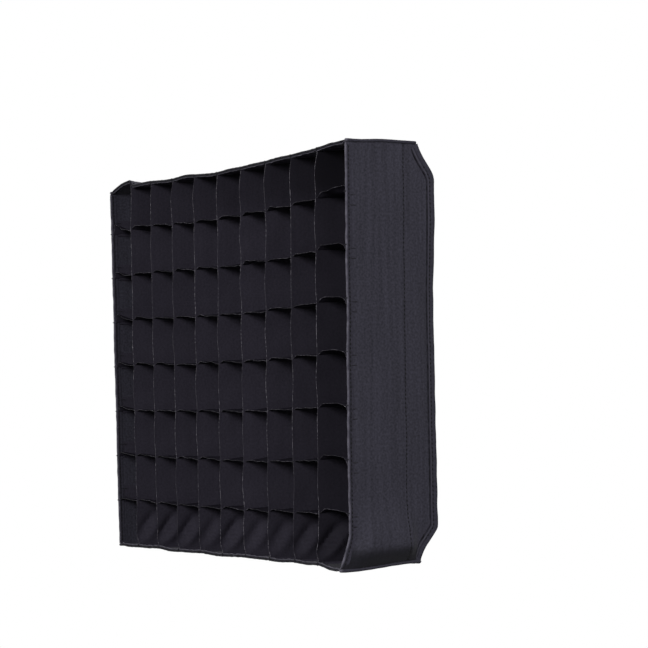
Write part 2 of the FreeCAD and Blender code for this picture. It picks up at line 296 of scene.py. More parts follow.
@dataclass(frozen=True)
class Hang:
    """Where the soft cloth leaves the straight lines of its construction.

    Of each pair of depths, the first is where a shape starts and the second is how far in
    front of that it is whole. A mound has its height, its place and its spread, and a ripple
    its height and its length.
    """

    sizes: GridSizes
    twist: float = 3.8 * MM
    twist_offset: float = 0.4 * MM
    corner_poke: float = 8.5 * MM
    poke_reach: float = 24.0 * MM
    poke_stretch: float = 3.0
    corner_tip: float = 2.2 * MM
    tip_reach: float = 26.0 * MM
    tip_stretch: float = 1.6
    tip_depth: float = 44.0 * MM
    tip_length: float = 54.0 * MM
    corner_dip: float = 2.4 * MM
    dip_reach: float = 26.0 * MM
    right_dip: float = 0.6
    dip_depths: Pair = (-14.0 * MM, 26.0 * MM)
    push: float = 1.5 * MM
    last_push: float = 1.7 * MM
    last_push_spread: float = 22.0 * MM
    push_depths: Pair = (-6.0 * MM, 38.0 * MM)
    shape_depths: Pair = (-8.0 * MM, 40.0 * MM)
    top_sag: float = 5.2 * MM
    sag_steps: tuple[Triple, ...] = ((0.42, 72.0 * MM, 36.0 * MM), (0.53, 138.0 * MM, 54.0 * MM))
    sag_end: float = 55.0 * MM
    sag_relief: Triple = (0.18, 88.0 * MM, 34.0 * MM)
    corner_hump: float = 4.6 * MM
    hump_length: float = 37.0 * MM
    hump_top: float = 1.0 * MM
    hump_drop: float = 7.0 * MM
    bottom_lift: Triple = (0.2 * MM, 318.0 * MM, 70.0 * MM)
    low_bulge: float = 5.6 * MM
    low_crease: float = 12.0 * MM
    bulge_spread: float = 24.0 * MM
    hem_bulge: Triple = (0.8 * MM, 38.0 * MM, 24.0 * MM)
    hem_hold: Pair = (3.0 * MM, 16.0 * MM)
    corner_hold: float = 7.0 * MM
    fold_hold: float = 11.0 * MM
    scallop: float = 0.3 * MM
    fold_start: float = 9.0 * MM
    wall_ripple: Pair = (0.35 * MM, 70.0 * MM)
    flap_lean: float = 4.0 * MM
    flap_ripple: Pair = (0.8 * MM, 90.0 * MM)
    tack_places: Pair = (2.6 * MM, 10.2 * MM)
    tack_back: float = 5.9 * MM
    tack_dimple: float = 0.25 * MM
    tack_spreads: Pair = (2.2 * MM, 4.0 * MM)
    rows_back: Pair = (6.3 * MM, 1.2 * MM)
    row_pucker: float = 0.10 * MM
    row_spread: float = 1.6 * MM

    def lean(self, points: np.ndarray) -> np.ndarray:
        """Shifts points as the front leans, the lattice swells and one low corner pokes out."""
        across, depth, up = points[..., 0], points[..., 1], points[..., 2]
        sizes = self.sizes
        wide, tall = sizes.half_width, sizes.half_height
        from_right = 0.5 - across / (2 * wide)
        slope = self.twist_offset - self.twist * up / tall
        corner = np.hypot((across - wide) / self.poke_stretch, up + tall)
        poke = self.corner_poke * clamp(1.0 - corner / self.poke_reach) ** 1.25
        at_front = ease((sizes.fold - depth) / (sizes.fold - sizes.front))
        dip = 0.0
        for edge, share in ((-1.0, 1.0), (1.0, self.right_dip)):
            beside = np.hypot(across - edge * wide, up - tall)
            dip = dip + share * self.corner_dip * (1.0 - ease(beside / self.dip_reach))
        low_corner = np.hypot((across - wide) / self.tip_stretch, up + tall)
        tipped = self.corner_tip * (1.0 - ease(low_corner / self.tip_reach))
        tipped = tipped * (2.0 * ease((depth + self.tip_depth) / self.tip_length) - 1.0)
        last = across - wide + sizes.column_pitch
        push = self.push + self.last_push * mound(last, 0.0, self.last_push_spread)
        for place, half in ((across, wide), (up, tall)):
            push = push * (1.0 - clamp(np.abs(place) / half) ** 10)
        moved = points.copy()
        moved[..., 1] = depth + (slope * np.clip(from_right, 0.0, 1.1) ** 1.6 - poke) * at_front
        moved[..., 1] -= push * self._in_front(depth, self.push_depths)
        moved[..., 2] = up - dip * self._in_front(depth, self.dip_depths) + tipped
        return moved

    @staticmethod
    def _in_front(depth: Places, depths: Pair) -> Places:
        """A smooth rise from 0 at the first of the depths to 1 in front of it."""
        return ease((depths[0] - depth) / depths[1])

    def inward(self, side: SideFrame, along: Places, depth: Places) -> np.ndarray:
        """How far a wall stands in from its straight plane.

        Args:
            side: the wall's frame.
            along: distances along the wall.
            depth: places along Y.

        Returns:
            The distances into the grid, 0 at the corners and at the fold.
        """
        sizes = self.sizes
        front_share = self._in_front(depth, self.shape_depths)
        height, length = self.wall_ripple
        ripple = height * Ripple(side.side.value + 200, length).at(along, depth)
        shape, belly = np.zeros(np.broadcast(along, depth).shape), 0.0
        if side.side is Side.TOP:
            shape = self._top(sizes.half_width - along) * front_share
        elif side.side is Side.BOTTOM:
            from_left = along + sizes.half_width
            lift, place, spread = self.bottom_lift
            lift = lift * mound(from_left, place, spread)
            shape = (lift - self._scallops(from_left)) * front_share
        elif side.side is Side.RIGHT:
            above = along + sizes.half_height
            behind_hem = ease((depth - sizes.front - self.hem_hold[0]) / self.hem_hold[1])
            bulge, place, spread = self.hem_bulge
            shape = -bulge * mound(above, place, spread) * (1.0 - behind_hem)
            belly = self._belly(above) * behind_hem
        near_corner = ease((side.half_length - np.abs(along)) / self.corner_hold)
        near_fold = ease((sizes.fold - depth) / self.fold_hold)
        return ((shape + ripple) * near_corner - belly) * near_fold

    def _belly(self, above: Places) -> Places:
        """The swelling of the right wall over the crease above its low corner."""
        below_crease = 1.0 - clamp(1.0 - above / self.low_crease) ** 1.25
        over_crease = mound(np.maximum(above - self.low_crease, 0.0), 0.0, self.bulge_spread)
        return self.low_bulge * below_crease * over_crease

    def _scallops(self, from_left: Places) -> Places:
        """The low arches of a hem between the strips that hold it."""
        return self.scallop * np.sin(math.pi * from_left / self.sizes.column_pitch) ** 2

    def _top(self, from_left: Places) -> Places:
        """The front of the top wall: it sags in two steps, but for a hump at the left corner."""
        from_right = 2 * self.sizes.half_width - from_left
        steps = (share * ease((from_left - start) / run) for share, start, run in self.sag_steps)
        relief, place, spread = self.sag_relief
        settled = sum(steps) * clamp(from_right / self.sag_end)
        settled = settled - relief * mound(from_right, place, spread)
        dropped = ease((from_left - self.hump_length - self.hump_top) / self.hump_drop)
        hump = clamp(from_left / self.hump_length) * (1.0 - dropped)
        return self.top_sag * settled - self.corner_hump * hump - self._scallops(from_left)

    def puckers(self, side: SideFrame, along: Places, depth: Places) -> np.ndarray:
        """The small dimples that thread draws into the cloth."""
        sizes = self.sizes
        dimples = np.zeros(np.broadcast(along, depth).shape)
        for end in side.strip_ends:
            for below in self.tack_places:
                near = mound(along, end - below, self.tack_spreads[0])
                across = mound(depth, sizes.front + self.tack_back, self.tack_spreads[1])
                dimples = dimples + self.tack_dimple * near * across
        drawn = Ripple(side.side.value + 410, 9.0 * MM).at(along, 0.0)
        for start, back in zip((sizes.front, sizes.tape_front), self.rows_back):
            row = mound(depth, start + back, self.row_spread)
            dimples = dimples + self.row_pucker * (drawn + 1.0) * row
        return dimples

    def flap_inward(self, side: SideFrame, along: Places, depth: Places) -> np.ndarray:
        """How far a flap stands in from its plane: its middle leans in towards the softbox."""
        behind_fold = (depth - self.sizes.fold) / (self.sizes.flap_rear - self.sizes.fold)
        middle = 1.0 - (along / side.half_length) ** 2
        height, length = self.flap_ripple
        ripple = Ripple(side.side.value + 300, length).at(along, 0.0)
        return ease(behind_fold) * (self.flap_lean * (middle - 0.35) + height * ripple)


# ---------------------------------------------------------------- nodes and shader maths


class NodeDesk:
    """Adds nodes to one tree."""

    def __init__(self, tree: bpy.types.NodeTree) -> None:
        """Keeps the tree that the nodes go in."""
        self.tree = tree

    def add(self, kind: str, sockets: dict | None = None, **settings: object) -> "Made":
        """Adds a node.

        Args:
            kind: the node's type.
            sockets: values or links, by the socket's name or place.
            settings: its properties, which are set before its sockets.

        Returns:
            The node, from which its outputs are read.
        """
        node = self.tree.nodes.new(kind)
        for name, value in settings.items():
            setattr(node, name, value)
        for key, value in (sockets or {}).items():
            self.feed(self.entry(node, key), value)
        return Made(self, node)

    @staticmethod
    def entry(node: bpy.types.Node, key: str | int) -> bpy.types.NodeSocket:
        """The input in use that has this name or place."""
        if isinstance(key, int):
            return node.inputs[key]
        return next(socket for socket in node.inputs if socket.enabled and socket.name == key)

    def feed(self, entry: bpy.types.NodeSocket, value: object) -> None:
        """Links a value from the tree to an input, or sets the input to a number."""
        if isinstance(value, Made):
            value = value.out()
        if isinstance(value, Value):
            self.tree.links.new(value.socket, entry)
        else:
            entry.default_value = value

    def maths(self, operation: str, *terms: object) -> "Value":
        """The result of one Math node."""
        return self.add("ShaderNodeMath", dict(enumerate(terms)), operation=operation).out()

    def joined(self, **parts: object) -> "Value":
        """A vector from its parts X, Y and Z."""
        return self.add("ShaderNodeCombineXYZ", parts).out()

    def mix(self, factor: "Value", first: object, second: object) -> "Value":
        """A colour between two others."""
        sockets = {"Factor": factor, "A": first, "B": second}
        return self.add("ShaderNodeMix", sockets, data_type="RGBA").out()

    def solid(self) -> "Value":
        """The place in the piece's own space."""
        return self.add("ShaderNodeTexCoord").out("Object")

    def noise(self, place: "Value", scale: float, detail: float = 2.0) -> "Value":
        """Soft noise from 0 to 1."""
        sockets = {"Vector": place, "Scale": scale, "Detail": detail}
        return self.add("ShaderNodeTexNoise", sockets).out("Fac")

    def stretched(self, place: "Value", scale: Triple) -> "Value":
        """A place multiplied along each axis."""
        return self.add("ShaderNodeVectorMath", {0: place, 1: scale}, operation="MULTIPLY").out()


class Made:
    """A node that was added."""

    def __init__(self, desk: NodeDesk, node: bpy.types.Node) -> None:
        """Keeps the node and its desk."""
        self.desk = desk
        self.node = node

    def out(self, name: str | None = None) -> "Value":
        """The output in use that has this name, or the first one."""
        in_use = (socket for socket in self.node.outputs if socket.enabled)
        return Value(self.desk, next(item for item in in_use if name in (None, item.name)))


class Value:
    """A socket's value, on which sums are written as Python expressions."""

    def __init__(self, desk: NodeDesk, socket: bpy.types.NodeSocket) -> None:
        """Keeps the socket and its desk."""
        self.desk = desk
        self.socket = socket

    def __add__(self, other: "Value | float") -> "Value":
        """This value plus another."""
        return self.desk.maths("ADD", self, other)

    def __radd__(self, other: float) -> "Value":
        """A number plus this value."""
        return self.desk.maths("ADD", other, self)

    def __sub__(self, other: "Value | float") -> "Value":
        """This value less another."""
        return self.desk.maths("SUBTRACT", self, other)

    def __rsub__(self, other: float) -> "Value":
        """A number less this value."""
        return self.desk.maths("SUBTRACT", other, self)

    def __mul__(self, other: "Value | float") -> "Value":
        """This value times another."""
        return self.desk.maths("MULTIPLY", self, other)

    def __truediv__(self, other: "Value | float") -> "Value":
        """This value divided by another."""
        return self.desk.maths("DIVIDE", self, other)

    def sine(self) -> "Value":
        """The sine of this value, from -1 to 1."""
        return self.desk.maths("SINE", self)

    def size(self) -> "Value":
        """This value without its sign."""
        return self.desk.maths("ABSOLUTE", self)

    def larger(self, other: "Value | float") -> "Value":
        """The larger of this value and another."""
        return self.desk.maths("MAXIMUM", self, other)

    def rise(self, low: float, high: float) -> "Value":
        """A smooth rise from 0 at the low value to 1 at the high one."""
        sockets = {"Value": self, "From Min": low, "From Max": high}
        kind = "ShaderNodeMapRange"
        return self.desk.add(kind, sockets, interpolation_type="SMOOTHSTEP").out()


def empty_desk(owner: bpy.types.Material | bpy.types.World) -> NodeDesk:
    """The desk of a material or a world, with no nodes on it."""
    owner.use_nodes = True
    owner.node_tree.nodes.clear()
    return NodeDesk(owner.node_tree)


def put(name: str, data: bpy.types.ID) -> bpy.types.Object:
    """A new object in the scene."""
    made = bpy.data.objects.new(name, data)
    bpy.context.scene.collection.objects.link(made)
    return made


# ---------------------------------------------------------------- finishes


class Weave(Enum):
    """How the threads of a cloth cross."""

    PLAIN = "plain"
    TWILL = "twill"
    RIBBED = "ribbed"
    PILE = "pile"


def shade(colour: Triple, share: float = 1.0) -> tuple[float, ...]:
    """A darker or paler shade of a colour, with its alpha."""
    return (*(part * share for part in colour), 1.0)


class Coat:
    """A material being made: its desk and its Principled shader."""

    def __init__(self, name: str) -> None:
        """Starts the material."""
        self.material = bpy.data.materials.new(name)
        self.desk = empty_desk(self.material)
        self.shader = self.desk.add("ShaderNodeBsdfPrincipled")
        self.desk.add("ShaderNodeOutputMaterial", {"Surface": self.shader})

    def finish(
        self, colour: Value, roughness: Value, height: Value, strength: float, relief: float,
        **fixed: float,
    ) -> bpy.types.Material:
        """Feeds the shader.

        Args:
            colour: the colour over the surface.
            roughness: the roughness over the surface.
            height: the height of the surface, in units of its relief.
            strength: how strongly the relief shows.
            relief: the depth of the relief, in metres.
            fixed: the shader's other inputs, with _ for a space.

        Returns:
            The material.
        """
        sockets = {"Strength": strength, "Distance": relief, "Height": height}
        bump = self.desk.add("ShaderNodeBump", sockets)
        sockets = {"Base Color": colour, "Roughness": roughness, "Normal": bump}
        sockets.update((name.replace("_", " "), value) for name, value in fixed.items())
        for name, value in sockets.items():
            self.desk.feed(self.shader.node.inputs[name], value)
        return self.material


@dataclass(frozen=True)
class ClothFinish:
    """A dyed synthetic cloth.

    Its pattern follows the piece's own cloth map, which is in metres along the cloth.
    """

    name: str
    colour: Triple
    weave: Weave
    thread_pitch: float
    relief: float
    roughness: float = 0.66
    gloss: float = 0.06
    sheen: float = 0.03
    mottle: float = 0.12
    streaks: float = 0.12
    speckle: float = 0.35
    wear: float = 0.0
    worn_colour: Triple = (0.0, 0.0, 0.0)
    cloud_scale: float = 38.0
    grain_scale: float = 560.0
    rub_scale: float = 260.0
    streak_scales: Triple = (9.0, 260.0, 1.0)
    crease_scales: Triple = (60.0, 45.0, 60.0)

    def make(self) -> bpy.types.Material:
        """Builds the material."""
        coat = Coat(self.name)
        desk = coat.desk
        place, solid = desk.add("ShaderNodeUVMap", uv_map=CLOTH_UV).out(), desk.solid()
        threads = self._threads(desk, place)
        cloud = desk.noise(solid, self.cloud_scale, 3.0) - 0.5
        grain = desk.noise(place, self.grain_scale, 3.0) - 0.5
        streak = desk.noise(desk.stretched(place, self.streak_scales), 1.0) - 0.5
        light = 0.5 + cloud * (2.0 * self.mottle) + streak * (2.0 * self.streaks)
        light = light + grain * self.speckle + (threads - 0.5) * 0.16
        colour = desk.mix(light, shade(self.colour, 0.4), shade(self.colour, 1.6))
        # Painted light: the mark lightens the cloth towards its paler colour, for scuffing and a
        # painted highlight, and below 0 darkens it towards 12% of its colour, which is painted
        # shade.
        if self.wear:
            worn = desk.add("ShaderNodeAttribute", attribute_name=WEAR_AND_PAINTED_LIGHT).out("Fac")
            wear_and_highlight_mask = worn * (0.55 + desk.noise(solid, self.rub_scale) * 0.9)
            colour = desk.mix(wear_and_highlight_mask * self.wear, colour, shade(self.worn_colour))
            colour = desk.mix(worn * -0.9, colour, shade(self.colour, 0.12))
        creases = desk.noise(desk.stretched(solid, self.crease_scales), 1.0, 3.0)
        return coat.finish(
            colour, self.roughness + cloud * 0.16 + grain * 0.08,
            threads + creases * 1.4 + grain * 0.5, 0.55, self.relief,
            Specular_IOR_Level=self.gloss, Sheen_Weight=self.sheen, Sheen_Roughness=0.45,
        )

    def _threads(self, desk: NodeDesk, place: Value) -> Value:
        """The height of the threads, from 0 to 1."""
        if self.weave is Weave.PILE:
            return desk.noise(place, 1.0 / self.thread_pitch)
        parts = desk.add("ShaderNodeSeparateXYZ", {0: place})
        turns = 2.0 * math.pi / self.thread_pitch
        along, across = parts.out("X") * turns, parts.out("Y") * turns
        if self.weave is Weave.TWILL:
            return 0.5 + (along + across * 0.5).sine() * 0.5
        if self.weave is Weave.RIBBED:
            return (along * 0.5).sine().size() * (0.8 + across.sine() * 0.2)
        return 0.5 + (along * 0.5).sine() * (across * 0.5).sine() * 0.5


@dataclass(frozen=True)
class SealedEdge:
    """An edge cut with a hot knife, pale in places.

    Its pale beads are partly the melted threads' own colour and partly a painted highlight.
    """

    name: str
    dark: Triple
    pale: Triple
    bead_length: float = 2.2 * MM
    bead_relief: float = 0.1 * MM
    stretch_scale: float = 30.0

    def make(self) -> bpy.types.Material:
        """Builds the material."""
        coat = Coat(self.name)
        desk, solid = coat.desk, coat.desk.solid()
        beads = desk.noise(solid, 1.0 / self.bead_length).rise(0.44, 0.60)
        stretches = desk.noise(solid, self.stretch_scale, 1.0).rise(0.38, 0.58)
        colour = desk.mix(beads * (0.2 + stretches * 0.8), shade(self.dark), shade(self.pale))
        roughness = 0.5 - beads * 0.15
        return coat.finish(
            colour, roughness, beads, 0.5, self.bead_relief, Specular_IOR_Level=0.1
        )


@dataclass(frozen=True)
class ThreadFinish:
    """Bonded sewing thread, twisted from finer ones."""

    name: str
    colour: Triple
    twist_scale: float = 3200.0
    twist_relief: float = 0.08 * MM
    dust_scale: float = 120.0

    def make(self) -> bpy.types.Material:
        """Builds the material."""
        coat = Coat(self.name)
        desk, solid = coat.desk, coat.desk.solid()
        twist = desk.noise(desk.stretched(solid, (1.0, 1.3, 1.0)), self.twist_scale, 1.0)
        light = twist * 0.6 + desk.noise(solid, self.dust_scale) * 0.4
        colour = desk.mix(light, shade(self.colour, 0.6), shade(self.colour, 1.5))
        roughness = 0.5 + twist * 0.15
        return coat.finish(
            colour, roughness, twist, 0.4, self.twist_relief, Specular_IOR_Level=0.1
        )


# The hem's paler colour lightens its noses and ridges, for scuffing and a painted highlight.
HEM = ClothFinish(
    "hem_nylon", (0.0265, 0.0252, 0.0350), Weave.PLAIN, 0.62 * MM, 0.12 * MM, mottle=0.16,
    streaks=0.2, speckle=1.1, wear=0.9, worn_colour=(0.112, 0.106, 0.132),
)
STRIP = ClothFinish(
    "strip_satin", (0.0277, 0.0251, 0.0355), Weave.TWILL, 0.42 * MM, 0.05 * MM, roughness=0.68,
    gloss=0.05, sheen=0.0, mottle=0.08, speckle=0.7, wear=1.0, worn_colour=(0.05, 0.05, 0.055),
)
FINISHES = (
    ClothFinish(
        "wall_nylon", (0.0265, 0.0254, 0.0352), Weave.PLAIN, 0.62 * MM, 0.11 * MM, gloss=0.08,
        sheen=0.04, mottle=0.10, streaks=0.34, speckle=1.4, wear=0.5,
        worn_colour=(0.06, 0.057, 0.072),
    ),
    HEM,
    # The level hems: a copy of the hem cloth with a much paler light colour, which paints the
    # highlight on their roll.
    replace(HEM, name="level_hem_nylon", worn_colour=(0.200, 0.190, 0.235)),
    ClothFinish(
        "binding_tape", (0.0265, 0.0254, 0.0355), Weave.RIBBED, 0.9 * MM, 0.14 * MM,
        streaks=0.2, speckle=0.9, wear=0.85, worn_colour=(0.066, 0.063, 0.080),
    ),
    STRIP,
    # The row strips: the same satin, rougher and without gloss, in a darker colour that paints
    # shade on them.
    replace(
        STRIP, name="strip_satin_level", colour=(0.0200, 0.0182, 0.0255), roughness=0.85,
        gloss=0.0, wear=0.0,
    ),
    SealedEdge("column_cut_edge", (0.024, 0.0222, 0.030), (0.165, 0.155, 0.180)),
    # The rows' cut edges: a darker copy of the columns' cut edge, which paints shade on them.
    SealedEdge("row_cut_edge", (0.016, 0.0150, 0.020), (0.130, 0.121, 0.146)),
    ClothFinish(
        "tape_selvedge", (0.015, 0.015, 0.019), Weave.RIBBED, 0.8 * MM, 0.12 * MM, gloss=0.12,
        sheen=0.06,
    ),
    ClothFinish(
        "tape_pile", (0.014, 0.014, 0.0175), Weave.PILE, 0.55 * MM, 0.5 * MM, roughness=0.80,
        gloss=0.08, sheen=0.25, mottle=0.25,
    ),
    ThreadFinish("black_thread", (0.004, 0.004, 0.005)),
    ThreadFinish("dusty_thread", (0.010, 0.0095, 0.0125)),
)


# ---------------------------------------------------------------- meshes


def quads(grid: np.ndarray) -> np.ndarray:
    """The four corners of each square of a grid, on the third axis."""
    rows, columns = grid.shape[0] - 1, grid.shape[1] - 1
    steps = ((0, 0), (1, 0), (1, 1), (0, 1))
    return np.stack([grid[a : a + rows, b : b + columns] for a, b in steps], axis=2)


class ClothMesh:
    """Gathers the closed shells that one piece is made of."""

    def __init__(self) -> None:
        """Starts with no shells."""
        self.points: list[np.ndarray] = []
        self.worn: list[np.ndarray] = []
        self.faces: list[np.ndarray] = []
        self.maps: list[np.ndarray] = []
        self.finish_numbers: list[int] = []
        self.count = 0

    def _extend(self, points: np.ndarray, worn: Places) -> np.ndarray:
        """Adds points and returns their numbers, in the shape of the points."""
        shape = points.shape[:-1]
        numbers = self.count + np.arange(math.prod(shape)).reshape(shape)
        self.points.append(points.reshape(-1, 3))
        self.worn.append(np.broadcast_to(worn, shape).reshape(-1))
        self.count += numbers.size
        return numbers

    def _faces(self, corners: np.ndarray, maps: np.ndarray, finish: np.ndarray | int) -> None:
        """Adds faces, given the numbers of their corners and the corners' cloth map."""
        self.faces.append(corners)
        self.maps.append(maps.reshape(-1, 2))
        self.finish_numbers.extend(np.broadcast_to(finish, len(corners)).tolist())

    def add_sheet(
        self, outer: np.ndarray, inner: np.ndarray, cloth: np.ndarray,
        keep: np.ndarray | None = None, finish: np.ndarray | int = 0, rim_finish: int = 0,
        worn: Places = 0.0,
    ) -> None:
        """Adds a sheet with two faces and a rim round them.

        Args:
            outer: the points of one face, in rows and columns.
            inner: the points of the other face.
            cloth: each point's place on the cloth.
            keep: the squares that are there; the others are cut out.
            finish: the number of the finish, of all squares or of each.
            rim_finish: the number of the rim's finish.
            worn: at each point, scuffing and a painted highlight above 0, painted shade below 0.
        """
        if keep is None:
            keep = np.ones((outer.shape[0] - 1, outer.shape[1] - 1), bool)
        upper, lower = self._extend(outer, worn), self._extend(inner, worn)
        finishes = np.broadcast_to(finish, keep.shape)[keep]
        places = quads(cloth)[keep]
        self._faces(quads(upper)[keep], places, finishes)
        self._faces(quads(lower)[keep][:, ::-1], places[:, ::-1], finishes)
        padded = np.pad(keep, 1)
        every, near, far = slice(None), slice(0, -1), slice(1, None)
        for first, second, edge in (
            ((near, every), (far, every), padded[1:-1, 1:] != padded[1:-1, :-1]),
            ((every, near), (every, far), padded[1:, 1:-1] != padded[:-1, 1:-1]),
        ):
            corners = (upper[first], upper[second], lower[second], lower[first])
            places = (cloth[first], cloth[second], cloth[second], cloth[first])
            rims = [np.stack([part[edge] for part in row], axis=1) for row in (corners, places)]
            self._faces(*rims, rim_finish)

    def add_roll(
        self, rings: np.ndarray, travel: np.ndarray, girth: float, finish: int = 0,
        worn: Places = 0.0,
    ) -> None:
        """Adds a closed tube through rings of points, with a cap at each end.

        Args:
            rings: the points, a ring to each row.
            travel: how far along the cloth each ring is.
            girth: how far it is round a ring.
            finish: the number of its finish.
            worn: at each point, scuffing and a painted highlight above 0, painted shade below 0.
        """
        numbers, size = self._extend(rings, worn), rings.shape[1]
        closed = np.concatenate([numbers, numbers[:, :1]], axis=1)
        round_it = np.linspace(0.0, girth, size + 1)
        cloth = np.stack(np.broadcast_arrays(travel[:, None], round_it[None, :]), axis=-1)
        self._faces(quads(closed).reshape(-1, 4), quads(cloth), finish)
        for row, flip in ((0, -1), (-1, 1)):
            middle = self._extend(rings[row].mean(axis=0)[None, :], float(np.mean(worn)))
            centre = np.full(size, middle[0])
            fan = np.stack([closed[row, :-1], closed[row, 1:], centre], axis=1)
            spots = np.stack([cloth[row, :-1], cloth[row, 1:], cloth[row, :-1]], axis=1)
            self._faces(fan[:, ::flip], spots[:, ::flip], finish)

    def build(self, name: str, *finishes: bpy.types.Material) -> bpy.types.Object:
        """Makes the object.

        Args:
            name: the piece's name.
            finishes: its materials, in the order of their numbers.

        Returns:
            The piece, with its faces pointing outwards.
        """
        points, worn = np.concatenate(self.points), np.concatenate(self.worn)
        used = np.zeros(len(points), bool)
        for part in self.faces:
            used[part] = True
        renumbered = np.cumsum(used) - 1
        faces = [face for part in self.faces for face in renumbered[part].tolist()]
        mesh = bpy.data.meshes.new(name)
        mesh.from_pydata(points[used].tolist(), [], faces)
        for finish in finishes:
            mesh.materials.append(finish)
        mesh.polygons.foreach_set("material_index", self.finish_numbers)
        layer = mesh.uv_layers.new(name=CLOTH_UV)
        layer.data.foreach_set("uv", np.concatenate(self.maps).astype(np.float32).ravel())
        marks = mesh.attributes.new(WEAR_AND_PAINTED_LIGHT, "FLOAT", "POINT")
        marks.data.foreach_set("value", worn[used].astype(np.float32))
        work = bmesh.new()
        work.from_mesh(mesh)
        bmesh.ops.recalc_face_normals(work, faces=work.faces)
        work.to_mesh(mesh)
        work.free()
        mesh.polygons.foreach_set("use_smooth", [True] * len(mesh.polygons))
        mesh.set_sharp_from_angle(angle=math.radians(48.0))
        return report(put(name, mesh))


def report(piece: bpy.types.Object) -> bpy.types.Object:
    """Logs a finished piece."""
    log.info("%s: %d faces", piece.name, len(piece.data.polygons))
    return piece


def unit(vectors: np.ndarray) -> np.ndarray:
    """Vectors with their length made 1."""
    return vectors / np.linalg.norm(vectors, axis=-1, keepdims=True)


def facing_of(points: np.ndarray) -> np.ndarray:
    """The unit normals of a surface given as rows and columns of points."""
    return unit(np.cross(np.gradient(points, axis=0), np.gradient(points, axis=1)))


def travel_of(line: np.ndarray) -> np.ndarray:
    """How far along a line each of its points is."""
    return np.concatenate([[0.0], np.cumsum(np.linalg.norm(np.diff(line, axis=0), axis=1))])


def resampled(line: np.ndarray, travel: np.ndarray, fine: np.ndarray) -> np.ndarray:
    """A line read again at other distances along it."""
    return np.stack([np.interp(fine, travel, part) for part in line.T], axis=-1)


def edge_roll(line: np.ndarray, normals: np.ndarray, radius: np.ndarray) -> np.ndarray:
    """Rings of six points round a line, given a direction across it at each point."""
    sideways = np.cross(unit(np.gradient(line, axis=0)), normals)
    angles = np.linspace(0.0, 2.0 * math.pi, 6, endpoint=False)[None, :, None]
    round_it = np.cos(angles) * normals[:, None, :] + np.sin(angles) * sideways[:, None, :]
    return line[:, None, :] + radius[:, None, None] * round_it


# ---------------------------------------------------------------- needlework


@dataclass
class Guide:
    """Lines or spots to sew along, each with the direction that the cloth faces there."""

    points: list[np.ndarray] = field(default_factory=list)
    facings: list[np.ndarray] = field(default_factory=list)
    headings: list[np.ndarray] = field(default_factory=list)
    edges: list[tuple[int, int]] = field(default_factory=list)

    def add_spots(self, spots: np.ndarray, facing: np.ndarray, heading: np.ndarray) -> None:
        """Adds spots, each with the way that its bar runs."""
        self.points.append(spots)
        self.facings.append(np.broadcast_to(facing, spots.shape))
        self.headings.append(np.broadcast_to(heading, spots.shape))

    def add_line(self, line: np.ndarray, facing: np.ndarray) -> None:
        """Adds a line to sew along."""
        first = sum(len(part) for part in self.points)
        self.add_spots(line, facing, np.gradient(line, axis=0))
        self.edges.extend((first + step, first + step + 1) for step in range(len(line) - 1))

    def build(self, name: str) -> bpy.types.Object:
        """The mesh of lines and spots that a sewing tree reads."""
        mesh = bpy.data.meshes.new(name)
        mesh.from_pydata(np.concatenate(self.points).tolist(), self.edges, [])
        for label, parts in ((FACING, self.facings), (HEADING, self.headings)):
            layer = mesh.attributes.new(label, "FLOAT_VECTOR", "POINT")
            layer.data.foreach_set("vector", np.concatenate(parts).astype(np.float32).ravel())
        return put(name, mesh)


